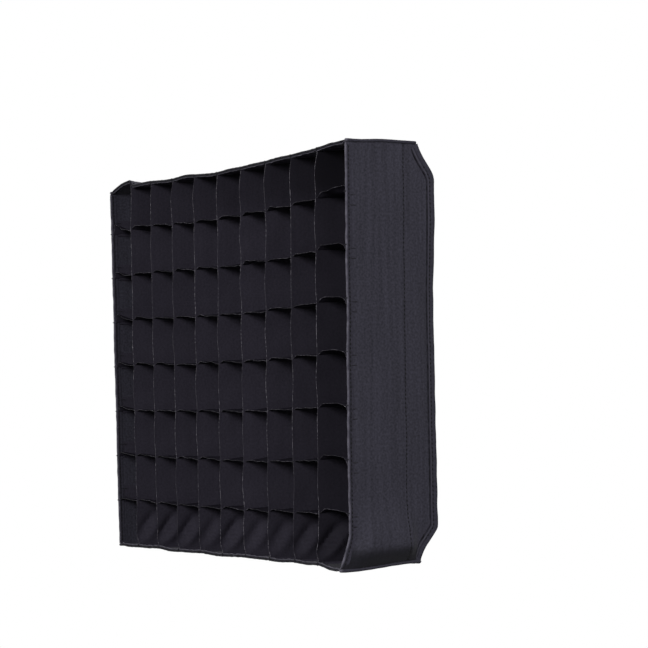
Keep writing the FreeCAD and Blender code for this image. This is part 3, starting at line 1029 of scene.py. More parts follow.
class SewingTree:
    """A Geometry Nodes tree that sews on a guide; its kinds differ in what they repeat."""

    name = "sewing"
    inputs: dict[str, tuple[str, object]] = {}

    def __init__(self, finish: bpy.types.Material) -> None:
        """Builds the tree with its inputs and its one output."""
        self.finish = finish
        self.tree = bpy.data.node_groups.new(self.name, "GeometryNodeTree")
        face = self.tree.interface
        face.new_socket("Guide", in_out="INPUT", socket_type="NodeSocketGeometry")
        face.new_socket("Sewn", in_out="OUTPUT", socket_type="NodeSocketGeometry")
        self.ids = {}
        inputs = {**self.inputs, "Seed": ("Int", 0), "Finish": ("Material", None)}
        for label, (kind, value) in inputs.items():
            entry = face.new_socket(label, in_out="INPUT", socket_type=f"NodeSocket{kind}")
            if value is not None:
                entry.default_value = value
            self.ids[label] = entry.identifier
        self.desk = NodeDesk(self.tree)
        self.given = self.desk.add("NodeGroupInput").out
        realized = self.desk.add("GeometryNodeRealizeInstances", {"Geometry": self.repeat()})
        smooth = self.desk.add("GeometryNodeSetShadeSmooth", {"Geometry": realized})
        sockets = {"Geometry": smooth, "Material": self.given("Finish")}
        dressed = self.desk.add("GeometryNodeSetMaterial", sockets)
        self.desk.add("NodeGroupOutput", {"Sewn": dressed})

    def repeat(self) -> Made:
        """The repeated shape on its places. Each kind of tree has its own."""
        raise NotImplementedError

    def scatter(self, **sockets: object) -> Made:
        """Copies of a shape on points."""
        return self.desk.add("GeometryNodeInstanceOnPoints", sockets)

    def attribute(self, name: str) -> Value:
        """A direction that the guide carries."""
        kind = "GeometryNodeInputNamedAttribute"
        return self.desk.add(kind, {"Name": name}, data_type="FLOAT_VECTOR").out()

    def turned(self, heading: Value) -> Made:
        """The turn that lays X along a heading and Z out of the cloth."""
        kind = "FunctionNodeAlignRotationToVector"
        ahead = self.desk.add(kind, {"Vector": heading}, axis="X")
        sockets = {"Rotation": ahead, "Vector": self.attribute(FACING)}
        return self.desk.add(kind, sockets, axis="Z", pivot_axis="X")

    def about_z(self, angle: Value) -> Made:
        """A turn about Z."""
        euler = self.desk.joined(Z=angle)
        return self.desk.add("FunctionNodeEulerToRotation", {"Euler": euler})

    def random(self, low: float | Value, high: float | Value, salt: int) -> Value:
        """A random number for each place, from the tree's seed."""
        sockets = {"Min": low, "Max": high, "Seed": self.given("Seed") + float(salt)}
        return self.desk.add("FunctionNodeRandomValue", sockets, data_type="FLOAT").out()

    def grain(self, length: str, segments: int) -> Made:
        """One stitch: a plump grain that lies along X, as long as one of the inputs."""
        width = self.given("Thread Width")
        sockets = {"Segments": segments, "Rings": 4, "Radius": 0.5}
        ball = self.desk.add("GeometryNodeMeshUVSphere", sockets)
        scale = self.desk.joined(X=self.given(length), Y=width, Z=width * 0.8)
        return self.desk.add("GeometryNodeTransform", {"Geometry": ball, "Scale": scale})

    def sew(self, guide: Guide, name: str, **settings: float) -> bpy.types.Object:
        """Sews on a guide and keeps the result as a plain mesh.

        Args:
            guide: the lines or spots.
            name: the piece's name.
            settings: inputs of the tree by name, with _ for a space.

        Returns:
            The sewn piece.
        """
        source = guide.build(name + "_guide")
        modifier = source.modifiers.new("Sewing", "NODES")
        modifier.node_group = self.tree
        modifier[self.ids["Finish"]] = self.finish
        for label, value in settings.items():
            modifier[self.ids[label.replace("_", " ")]] = value
        graph = bpy.context.evaluated_depsgraph_get()
        mesh = bpy.data.meshes.new_from_object(source.evaluated_get(graph))
        mesh.name = name
        source.modifiers.remove(modifier)
        bpy.data.objects.remove(source)
        return report(put(name, mesh))


class RunningStitch(SewingTree):
    """A row of lockstitch along each line."""

    name = "running_stitch"
    inputs = {
        "Pitch": ("Float", 3.2 * MM),
        "Stitch Length": ("Float", 2.2 * MM),
        "Thread Width": ("Float", 0.75 * MM),
        "Wander": ("Float", 0.07),
    }

    def repeat(self) -> Made:
        """A stitch at every pitch along the lines."""
        curve = self.desk.add("GeometryNodeMeshToCurve", {"Mesh": self.given("Guide")})
        sockets = {"Curve": curve, "Length": self.given("Pitch")}
        spots = self.desk.add("GeometryNodeResampleCurve", sockets, mode="LENGTH")
        heading = self.turned(self.desk.add("GeometryNodeInputTangent").out())
        wander = self.given("Wander")
        askew = self.about_z(self.random(wander * -1.0, wander, 1))
        sockets = {"Rotation": heading, "Rotate By": askew}
        laid = self.desk.add("FunctionNodeRotateRotation", sockets, rotation_space="LOCAL")
        size = self.random(0.9, 1.08, 2)
        grain = self.grain("Stitch Length", 6)
        return self.scatter(Points=spots, Instance=grain, Rotation=laid, Scale=size)


class Bartack(SewingTree):
    """A dense bar of zigzag threads on each spot."""

    name = "bartack"
    inputs = {
        "Bar Length": ("Float", 5.5 * MM),
        "Bar Width": ("Float", 1.2 * MM),
        "Thread Width": ("Float", 0.55 * MM),
        "Threads": ("Int", 12),
    }

    def repeat(self) -> Made:
        """A bar of threads, lying aslant by turns, on every spot."""
        length, threads = self.given("Bar Length"), self.given("Threads")
        start = self.desk.joined(X=length * -0.5)
        offset = self.desk.joined(X=length / threads)
        sockets = {"Count": threads, "Start Location": start, "Offset": offset}
        line = self.desk.add("GeometryNodeMeshLine", sockets)
        index = self.desk.add("GeometryNodeInputIndex").out()
        slant = self.desk.maths("PINGPONG", index, 1.0) * math.radians(36.0)
        turn = self.about_z(math.radians(72.0) + slant)
        bar = self.scatter(Points=line, Instance=self.grain("Bar Width", 5), Rotation=turn)
        whole = self.desk.add("GeometryNodeRealizeInstances", {"Geometry": bar})
        heading, size = self.turned(self.attribute(HEADING)), self.random(0.92, 1.08, 3)
        guide = self.given("Guide")
        return self.scatter(Points=guide, Instance=whole, Rotation=heading, Scale=size)


# ---------------------------------------------------------------- the sub-assemblies


@dataclass
class Workshop:
    """What every sub-assembly works with."""

    sizes: GridSizes
    hang: Hang
    finishes: dict[str, bpy.types.Material]
    stitches: RunningStitch
    bartacks: Bartack


def stand_for(piece: bpy.types.Object, node: str) -> None:
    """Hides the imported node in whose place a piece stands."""
    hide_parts(node)


@dataclass
class SideWork:
    """What the wall and the flap of one side share.

    An unevenness has its height and its length.
    """

    shop: Workshop
    side: Side
    spacing: float = 2.5 * MM
    guide_spacing: float = 4.0 * MM
    selvedge_width: float = 1.6 * MM
    tape_stitch_in: float = 1.3 * MM
    tape_base: float = 0.42 * MM
    tape_sunk: float = 0.03 * MM
    pile_height: float = 0.42 * MM
    tufts: Pair = (0.10 * MM, 2.6 * MM)

    def __post_init__(self) -> None:
        """Finds the side's own frame."""
        self.place = SideFrame(self.side, self.shop.sizes)
        self.label = self.side.label
        self.out = self.place.outward()

    def ripple(self, salt: int, wavelength: float) -> Ripple:
        """An unevenness of this side's own."""
        return Ripple(self.side.value + salt, wavelength)

    def surface(self, along: Places, depth: Places, inward: Places) -> np.ndarray:
        """Points at a distance from the cloth's middle, as the cloth hangs."""
        hang = self.shop.hang
        stands_in = hang.inward(self.place, along, depth)
        stands_in = stands_in + hang.flap_inward(self.place, along, depth)
        stands_in = stands_in + hang.puckers(self.place, along, depth)
        return hang.lean(self.place.place(along, depth, inward + stands_in))

    @staticmethod
    def spread(half: float, spacing: float) -> np.ndarray:
        """Places along the side, evenly spaced, out to a distance from its middle."""
        return np.linspace(-half, half, int(2 * half / spacing) + 1)

    def line(self, along: np.ndarray, depth: float, inward: float) -> np.ndarray:
        """A line along the side, for a row of stitches."""
        return self.surface(along, np.full_like(along, depth), np.full_like(along, inward))

    def two_faced(
        self, name: str, across: np.ndarray, back: np.ndarray, worn: Places = 0.0
    ) -> bpy.types.Object:
        """A piece of the wall's cloth, given the places of its points."""
        middle = self.surface(across, back, np.zeros_like(across))
        normal = facing_of(middle) * self.shop.sizes.half_wall
        sheet = ClothMesh()
        cloth = np.stack([across, back], axis=-1)
        sheet.add_sheet(middle + normal, middle - normal, cloth, worn=worn)
        return sheet.build(f"{self.label}_{name}", self.shop.finishes["wall_nylon"])

    def tape_part(
        self, name: str, first: float, last: float, selvedges: tuple[bool, bool]
    ) -> bpy.types.Object:
        """One part of the loop tape: a pile between woven selvedges.

        Args:
            name: the end of the piece's name.
            first: the depth of its front.
            last: the depth of its rear.
            selvedges: whether it has one at the front and at the rear.

        Returns:
            The tape.
        """
        name = f"{self.label}_{name}"
        half = self.place.tape_half
        along = self.spread(half, 2.0 * MM)
        steps = max(8, int((last - first) / (0.8 * MM)))
        across, back = np.meshgrid(along, np.linspace(first, last, steps + 1), indexing="ij")
        inside = half - np.abs(across)
        for has_one, distance in zip(selvedges, (back - first, last - back)):
            if has_one:
                inside = np.minimum(inside, distance)
        raised = ease((inside - self.selvedge_width * 0.7) / (self.selvedge_width * 0.5))
        piled = quads(raised).sum(axis=2) > 2.0
        tufts = self.tufts[0] * Ripple(len(name) * 7, self.tufts[1], 11).at(across, back)
        wall = self.shop.sizes.half_wall
        top = wall + self.tape_base + raised * (self.pile_height + tufts)
        upper = self.surface(across, back, top)
        lower = self.surface(across, back, np.full_like(top, wall - self.tape_sunk))
        pile = ClothMesh()
        pile.add_sheet(upper, lower, np.stack([across, back], axis=-1), finish=piled.astype(int))
        finishes = self.shop.finishes
        return pile.build(name, finishes["tape_selvedge"], finishes["tape_pile"])


# Marks of a hem's section: back from the front edge and in from the middle, in millimetres,
# and the mark for its colour there, which lightens the cloth above 0 and darkens it below 0.
# A level hem has a second roll, of the strips' ends; its marks paint a highlight on that roll
# and shade on its nose and its outside. An upright hem's marks lighten its nose, for scuffing
# and a painted highlight, and paint shade on its inner face and in its stitch groove. On the
# outside, they paint shade in the stitch groove.
LEVEL_HEM = (
    (6.0, 0.33, -0.6), (5.85, 0.56, -0.6), (5.3, 0.75, -0.6), (4.4, 0.88, -0.7),
    (3.6, 0.85, -0.8), (2.9, 0.70, -0.95), (2.4, 1.15, -0.3), (1.9, 1.62, 0.6),
    (1.35, 1.80, 1.0), (0.95, 1.62, 1.0), (0.8, 1.2, -0.2), (0.45, 0.85, -0.9),
    (0.1, 0.42, -0.9), (0.0, 0.0, -0.85), (0.08, -0.34, -0.8), (0.35, -0.66, -0.7),
    (0.85, -0.86, -0.6),
)
UPRIGHT_HEM = (
    (6.0, 0.33, -0.6), (5.85, 0.56, -0.3), (5.3, 0.70, 0.0), (4.4, 0.78, 0.0),
    (3.6, 0.70, -0.3), (2.9, 0.46, -0.95), (2.2, 0.72, -0.2), (1.5, 0.92, 0.1),
    (0.85, 0.90, 0.5), (0.35, 0.66, 0.9), (0.08, 0.34, 1.0), (0.0, 0.0, 1.0),
    (0.08, -0.34, 1.0), (0.35, -0.66, 0.8), (0.85, -0.86, 0.5),
)
HEM_OUTSIDE = (
    (1.5, -0.80, 0.0), (2.2, -0.60, -0.25), (2.9, -0.40, -0.45), (3.6, -0.50, -0.15),
    (4.5, -0.44, 0.0), (5.4, -0.37, 0.0), (6.0, -0.32, 0.0),
)


@dataclass
class Wall(SideWork):
    """One cloth wall with its hem, the tabs of the strips, its tape and its needlework."""

    corner_clearance: float = 1.2 * MM
    hem_clearance: float = 1.4 * MM
    hem_half: float = 0.7 * MM
    hem_stitch_back: float = 2.9 * MM
    hem_spacing: float = 1.5 * MM
    hem_waver: Pair = (0.15 * MM, 11.0 * MM)
    hem_corner: float = 12.0 * MM
    bead_radius: float = 1.95 * MM
    tab_length: float = 10.0 * MM
    tab_thickness: float = 0.35 * MM
    tab_gap: float = 0.9 * MM
    tab_sunk: float = 0.05 * MM
    fray: Pair = (0.3 * MM, 6.0 * MM)
    hem_row_end: float = 5.0 * MM
    tape_row_end: float = 3.0 * MM
    tape_stitch_rise: float = 0.558 * MM

    def cloth(self) -> bpy.types.Object:
        """The wall's cloth, from inside the hem to the fold."""
        sizes = self.shop.sizes
        along = self.spread(self.place.half_length - self.corner_clearance, self.spacing)
        row = sizes.tape_front + self.tape_stitch_in
        depth = np.linspace(sizes.front + self.hem_half, self.shop.hang.fold_start, 25)
        beside_row = row + np.array([-1.2, -0.6, 0.0, 0.6, 1.2]) * MM
        depth = np.sort(np.concatenate([depth[np.abs(depth - row) > 1.6 * MM], beside_row]))
        across, back = np.meshgrid(along, depth, indexing="ij")
        drawn = self.ripple(430, 16.0 * MM).at(across)
        # Painted shade: the cloth is darkened along the tape's stitch row, and on the right wall
        # over its foot, where it turns under.
        painted_shade = -0.5 * mound(back, row, 0.6 * MM) * (0.8 + 0.25 * drawn)
        if self.side is Side.RIGHT:
            foot = (across + self.place.half_length - 9.0 * MM) / (8.0 * MM)
            painted_shade = painted_shade - 0.9 * (1.0 - ease(foot))
        return self.two_faced("wall_cloth", across, back, painted_shade)

    def hem(self) -> bpy.types.Object:
        """The hem: the cloth turned round the front edge and stitched down."""
        sizes, upright = self.shop.sizes, self.place.upright
        width = sizes.hem_rear - sizes.front
        along = self.spread(self.place.half_length - self.hem_clearance, self.hem_spacing)
        section = np.array((UPRIGHT_HEM if upright else LEVEL_HEM) + HEM_OUTSIDE)
        back, half, marks = section[:, 0] * MM, section[:, 1] * MM, section[:, 2]
        drawn = self.ripple(500, 7.0 * MM).at(along)
        to_corner = self.place.half_length - np.abs(along)
        room = np.clip(0.16 * to_corner / (self.hem_half * 1.3), 0.25, 1.0)
        edge = self.hem_waver[0] * self.ripple(510, self.hem_waver[1]).at(along)
        edge = edge * ease(to_corner / self.hem_corner)
        across, depth = np.meshgrid(along, sizes.front + back, indexing="ij")
        depth = depth + edge[:, None] * (1.0 - back / width)[None, :]
        plump = (1.0 + 0.10 * drawn) * room
        rings = self.surface(across, depth, half[None, :] * plump[:, None])
        # The section's marks paint the hem: highlights above 0, partly scuffing on an upright hem's
        # nose, and shade below 0.
        worn = marks[None, :] * (0.85 + 0.25 * drawn)[:, None]
        roll = ClothMesh()
        roll.add_roll(rings, along, 2.0 * width, worn=worn)
        finish = self.shop.finishes["hem_nylon" if upright else "level_hem_nylon"]
        return roll.build(f"{self.label}_hem", finish)

    def tabs(self) -> bpy.types.Object:
        """The turned strip ends: a rolled fold at each strip, and its end laid flat."""
        sizes = self.shop.sizes
        depth = np.linspace(sizes.hem_rear + 0.3 * MM, sizes.rows_rear, 18)
        angles = np.radians(np.linspace(8.0, 166.0, 9))
        bead = [(self.bead_radius * math.cos(a), self.bead_radius * math.sin(a)) for a in angles]
        flat_start = -(self.bead_radius + self.tab_gap)
        flat_end = flat_start - self.tab_length
        top = sizes.half_wall + self.tab_thickness
        under = sizes.half_wall - self.tab_sunk
        shift, inward = np.array([
            *bead,
            (flat_start + 0.5 * MM, top + 0.1 * MM),
            *((at, top) for at in np.linspace(flat_start, flat_end + 0.25 * MM, 6)),
            (flat_end, top - 0.12 * MM),
            *((at, under) for at in np.linspace(flat_end, bead[0][0], 7)),
        ]).T
        rolls = ClothMesh()
        for number, end in enumerate(self.place.strip_ends):
            frayed = self.fray[0] * self.ripple(700 + number, self.fray[1]).at(depth)
            at_end = (shift < flat_end + 0.5 * MM).astype(float)
            across = end + shift[None, :] + frayed[:, None] * at_end[None, :]
            rings = self.surface(across, np.broadcast_to(depth[:, None], across.shape), inward)
            rolls.add_roll(rings, depth, 2.0 * self.tab_length)
        return rolls.build(f"{self.label}_strip_tabs_cloth", self.shop.finishes["strip_satin"])

    def tape(self) -> bpy.types.Object:
        """The front part of the loop tape, on the skirt behind the lattice."""
        front, rear = self.shop.sizes.tape_front, self.shop.hang.fold_start
        return self.tape_part("loop_tape_front_pile", front, rear, (True, False))

    def needlework(self) -> tuple[bpy.types.Object, ...]:
        """The rows of stitches, the bartacks, and the loops of thread round the hem's edge."""
        sizes, place, hang = self.shop.sizes, self.place, self.shop.hang
        level, seed = not place.upright, self.side.value
        rows, tacks, wraps = Guide(), Guide(), Guide()
        hem_row = sizes.front + self.hem_stitch_back
        tape_row = sizes.tape_front + self.tape_stitch_in
        tape_top = sizes.half_wall + self.tape_stitch_rise
        for half, depth, inward in (
            (place.half_length - self.hem_row_end, hem_row, -0.56 * MM),
            (place.half_length - self.hem_row_end, hem_row, 0.72 * MM if level else 0.52 * MM),
            (place.half_length - self.tape_row_end, tape_row, -0.36 * MM),
            (place.tape_half, tape_row, tape_top),
        ):
            line = self.line(self.spread(half, self.guide_spacing), depth, inward)
            rows.add_line(line, self.out if inward < 0 else -self.out)
        tack_top = sizes.half_wall + self.tab_thickness - 0.05 * MM
        tack_row = sizes.front + hang.tack_back + 0.6 * MM
        for below in hang.tack_places:
            for inward, facing in ((-0.42 * MM, self.out), (tack_top, -self.out)):
                spots = self.line(place.strip_ends - below, tack_row, inward)
                tacks.add_spots(spots, facing, BACKWARD)
        edge_middle = 0.45 * MM if level else 0.0
        spots = self.line(place.strip_ends, sizes.front - 0.05 * MM, edge_middle)
        wraps.add_spots(spots, FORWARD, self.out)
        sew, tack = self.shop.stitches.sew, self.shop.bartacks.sew
        return (
            sew(rows, f"{self.label}_wall_stitches", Thread_Width=0.95 * MM, Seed=seed + 180),
            tack(tacks, f"{self.label}_bartacks", Seed=seed + 90),
            tack(
                wraps, f"{self.label}_edge_loops", Bar_Length=(3.1 if level else 2.5) * MM,
                Bar_Width=1.0 * MM, Thread_Width=0.8 * MM, Threads=6, Seed=seed + 95,
            ),
        )

    def build(self) -> None:
        """Makes the wall's pieces and puts them on its body."""
        sizes, label = self.shop.sizes, self.label
        pieces = (self.cloth(), self.hem(), self.tabs(), self.tape(), *self.needlework())
        for piece in pieces:
            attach(piece, f"{label}_side")
        cloth, hem, tabs, tape = pieces[:4]
        stand_for(cloth, f"{label}_wall")
        stand_for(hem, f"{label}_front_hem")
        stand_for(tabs, f"{label}_strip_tabs")
        stand_for(tape, f"{label}_loop_tape_front")
        2.0 * self.place.half_length
        sorted(f"{corner}_corner_roll" for corner in CORNER_BODIES if label in corner)
        list(pieces[1:])


# Marks of the binding's section, from its inner edge to the flap's free edge: in from that
# edge and out from the cloth's middle, in millimetres, and the mark for its colour there. Below
# 0 it paints shade in the gap at the inner edge and in the stitch groove, and darkens the free
# edge a little; above 0 it lightens the raised band, for scuffing and a painted highlight.
BINDING_FACE = (
    (7.7, 0.33, -1.0), (7.55, 0.60, -1.0), (7.1, 0.70, -1.0), (6.65, 0.74, -0.9),
    (6.2, 0.80, 0.45), (5.3, 0.82, 0.5), (4.85, 0.74, -0.1), (4.3, 0.60, -0.55),
    (3.75, 0.74, -0.1), (3.0, 0.82, 0.05), (1.6, 0.86, 0.0), (0.65, 0.76, -0.1),
    (0.2, 0.50, -0.2),
)
BINDING_EDGE = (0.0, 0.0, -0.2)


@dataclass
class RearFlap(SideWork):
    """The flap behind a wall, its folded binding, its part of the loop tape and its stitches.

    The curves of its two ends are in millimetres, from the corner and behind the fold.
    """

    binding_width: float = 7.7 * MM
    binding_stitch: float = 4.4 * MM
    fold_reach: float = 1.5 * MM
    binding_waver: Pair = (0.22 * MM, 15.0 * MM)
    waver_start: float = 14.0 * MM
    waver_rise: float = 16.0 * MM
    full_end: Curve = (
        (0.5, 2.2), (4.0, 3.4), (8.0, 5.4), (12.5, 8.4), (16.4, 11.4), (20.2, 14.0),
        (24.0, 16.0), (28.0, 17.0), (34.0, 17.0),
    )
    lean_end: Curve = (
        (0.6, 0.9), (3.6, 1.7), (7.6, 3.4), (12.5, 6.1), (16.4, 8.9), (20.2, 11.9),
        (24.0, 14.9), (26.6, 16.8), (29.0, 17.0), (34.0, 17.0),
    )

    def end_line(self, curve: Curve) -> np.ndarray:
        """The free edge at one end: distances from the corner and behind the fold, in metres."""
        marks = np.array(curve) * MM
        marks[-1, 1] = self.shop.sizes.flap_rear - self.shop.sizes.fold
        travel = travel_of(marks)
        line = resampled(marks, travel, np.linspace(0.0, travel[-1], 61))
        for _ in range(8):
            line[1:-1] = (line[:-2] + 2.0 * line[1:-1] + line[2:]) / 4.0
        return line[::2]

    def outline(self, inset: float) -> np.ndarray:
        """The flap's free edge, from one end to the other, moved in by a distance.

        Args:
            inset: how far inside the edge the line runs.

        Returns:
            Places along the side and in depth; their number doesn't depend on the inset.
        """
        sizes = self.shop.sizes
        ends = []
        for curve in (self.full_end, self.lean_end):
            edge = self.end_line(curve)
            ahead = unit(np.gradient(edge, axis=0))
            moved = edge + inset * np.stack([ahead[:, 1], -ahead[:, 0]], axis=-1)
            moved[:, 1] = np.maximum(moved[:, 1], -0.65 * inset)
            along, depth = self.place.half_length - moved[:, 0], sizes.fold + moved[:, 1]
            ends.append(np.stack([along, depth], axis=-1))
        stations = int(self.place.half_length / (0.9 * MM))
        middle = np.linspace(ends[0][-1, 0], -ends[1][-1, 0], stations)[1:-1]
        back = np.stack([middle, np.full_like(middle, sizes.flap_rear - inset)], axis=-1)
        return np.concatenate([ends[0], back, ends[1][::-1] * np.array([-1.0, 1.0])])

    def cloth(self) -> bpy.types.Object:
        """The flap's cloth, from a little before the fold into the binding."""
        sizes, half_length = self.shop.sizes, self.place.half_length
        before = np.linspace(self.shop.hang.fold_start, sizes.wall_rear, 6)
        behind = np.linspace(sizes.binding_front, sizes.flap_rear - 1.0 * MM, 13)
        depth = np.concatenate([before, [sizes.flap_front], behind])
        wide = half_length - 0.6 * MM
        reach = []
        for curve in (self.full_end, self.lean_end):
            cut_back, behind_fold = self.end_line(curve).T
            curved = half_length - 0.4 * MM - np.interp(depth - sizes.fold, behind_fold, cut_back)
            reach.append(np.where(depth < sizes.fold, wide, np.minimum(curved, wide)))
        share = np.linspace(0.0, 1.0, int(2 * wide / self.spacing) + 1)[:, None]
        across = share * reach[0][None, :] - (1.0 - share) * reach[1][None, :]
        return self.two_faced("flap_cloth", across, np.broadcast_to(depth, across.shape))

    def binding(self) -> bpy.types.Object:
        """The binding: a ribbed tape folded over the flap's free edge and stitched through."""
        turned = [(back, -half, mark) for back, half, mark in reversed(BINDING_FACE)]
        section = np.array([*BINDING_FACE, BINDING_EDGE, *turned])
        back, half = section[:, 0] * MM, section[:, 1] * MM
        lines = np.stack([self.outline(inset) for inset in back], axis=1)
        edge = lines[:, len(BINDING_FACE)]
        travel = travel_of(edge)
        drawn = self.ripple(600, 8.0 * MM).at(travel)
        to_corner = self.place.half_length - np.abs(edge[:, 0])
        waver = self.binding_waver[0] * self.ripple(620, self.binding_waver[1]).at(travel)
        waver = waver * ease((to_corner - self.waver_start) / self.waver_rise)
        room = np.clip(0.17 * to_corner / (0.86 * MM), 0.15, 1.0)
        back_share = 1.0 - back / self.binding_width
        plump = room * (1.0 + 0.09 * drawn)
        depth = lines[..., 1] + waver[:, None] * back_share[None, :]
        rings = self.surface(lines[..., 0], depth, half[None, :] * plump[:, None])
        # The section's marks paint shade in the gap and the groove, and a highlight on the raised
        # band.
        worn = section[None, :, 2] * (0.8 + 0.2 * drawn)[:, None]
        roll = ClothMesh()
        roll.add_roll(rings, travel, 2.0 * self.binding_width, worn=worn)
        return roll.build(f"{self.label}_binding_tape", self.shop.finishes["binding_tape"])

    def tape(self) -> bpy.types.Object:
        """The rear part of the loop tape, across the fold and on the flap."""
        front, rear = self.shop.hang.fold_start, self.shop.sizes.tape_rear
        return self.tape_part("loop_tape_rear_pile", front, rear, (False, True))

    def needlework(self) -> bpy.types.Object:
        """The stitches through the binding, and those of the tape, which stay inside."""
        sizes, rows = self.shop.sizes, Guide()
        row = self.outline(self.binding_stitch)[14:-14]
        for inward, facing in ((-0.72 * MM, self.out), (0.72 * MM, -self.out)):
            rows.add_line(self.surface(row[:, 0], row[:, 1], np.full(len(row), inward)), facing)
        along = self.spread(self.place.tape_half, self.guide_spacing)
        depth = sizes.tape_rear - self.tape_stitch_in
        rows.add_line(self.line(along, depth, sizes.half_wall + 0.5 * MM), -self.out)
        return self.shop.stitches.sew(
            rows, f"{self.label}_flap_stitches", Stitch_Length=2.0 * MM, Thread_Width=1.15 * MM,
            Seed=self.side.value + 1180,
        )

    def build(self) -> None:
        """Makes the flap's pieces; only its stitches go on the flap's body."""
        sizes, label = self.shop.sizes, self.label
        cloth, binding, tape = self.cloth(), self.binding(), self.tape()
        stitches = self.needlework()
        start = (0.0, sizes.fold - self.fold_reach, 0.0)
        end = (0.0, sizes.fold + self.fold_reach, 0.0)
        for piece in (cloth, binding, tape):
            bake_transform(piece)
        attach(stitches, f"{label}_rear_flap")
        stand_for(cloth, f"{label}_flap")
        stand_for(binding, f"{label}_flap_binding")
        stand_for(tape, f"{label}_loop_tape_rear")
        2.0 * self.place.half_length
        sizes.flap_rear - self.shop.hang.fold_start


@dataclass
class CornerSeam:
    """The rolled seam at a corner, round which its two walls turn."""

    shop: Workshop
    corner: str
    body: str
    radius: float = 1.3 * MM
    dome: float = 1.1 * MM
    tail: float = 0.5 * MM
    worn_length: float = 3.0 * MM
    points_round: int = 20

    def build(self) -> None:
        """Makes the seam and puts it on its body."""
        node = f"{self.corner}_corner_seam"
        low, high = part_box(node)
        across, up = (low.x + high.x) / 2, (low.z + high.z) / 2
        start = low.y
        nose = start + self.dome * (1 - np.cos(np.linspace(0.25, 1.45, 7)))
        length = np.linspace(start + 2 * self.dome, high.y + self.tail, 52)
        depth = np.concatenate([nose, length])
        angle = np.linspace(0.0, 2.0 * math.pi, self.points_round, endpoint=False)
        domed = np.sqrt(np.clip(1.0 - (1.0 - clamp((depth - start) / self.dome)) ** 2, 0.02, 1.0))
        spiral = 0.93 + 0.10 * angle / (2.0 * math.pi)
        ripple = Ripple(len(self.corner) + 40, 9.0 * MM)
        uneven = ripple.at(depth[:, None], self.radius * angle[None, :])
        radius = self.radius * domed[:, None] * spiral[None, :] * (1.0 + 0.035 * uneven)
        back = np.broadcast_to(depth[:, None], radius.shape)
        rings = [across + radius * np.cos(angle), back, up + radius * np.sin(angle)]
        rings = self.shop.hang.lean(np.stack(rings, axis=-1))
        # The seam's front end is lightened, for scuffing and a painted highlight.
        worn = np.broadcast_to(ease(1.0 - (back - start) / self.worn_length), radius.shape)
        roll = ClothMesh()
        roll.add_roll(rings, depth, 2.0 * math.pi * self.radius, worn=worn)
        piece = roll.build(f"{self.corner}_corner_roll", self.shop.finishes["hem_nylon"])
        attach(piece, self.body)
        stand_for(piece, node)


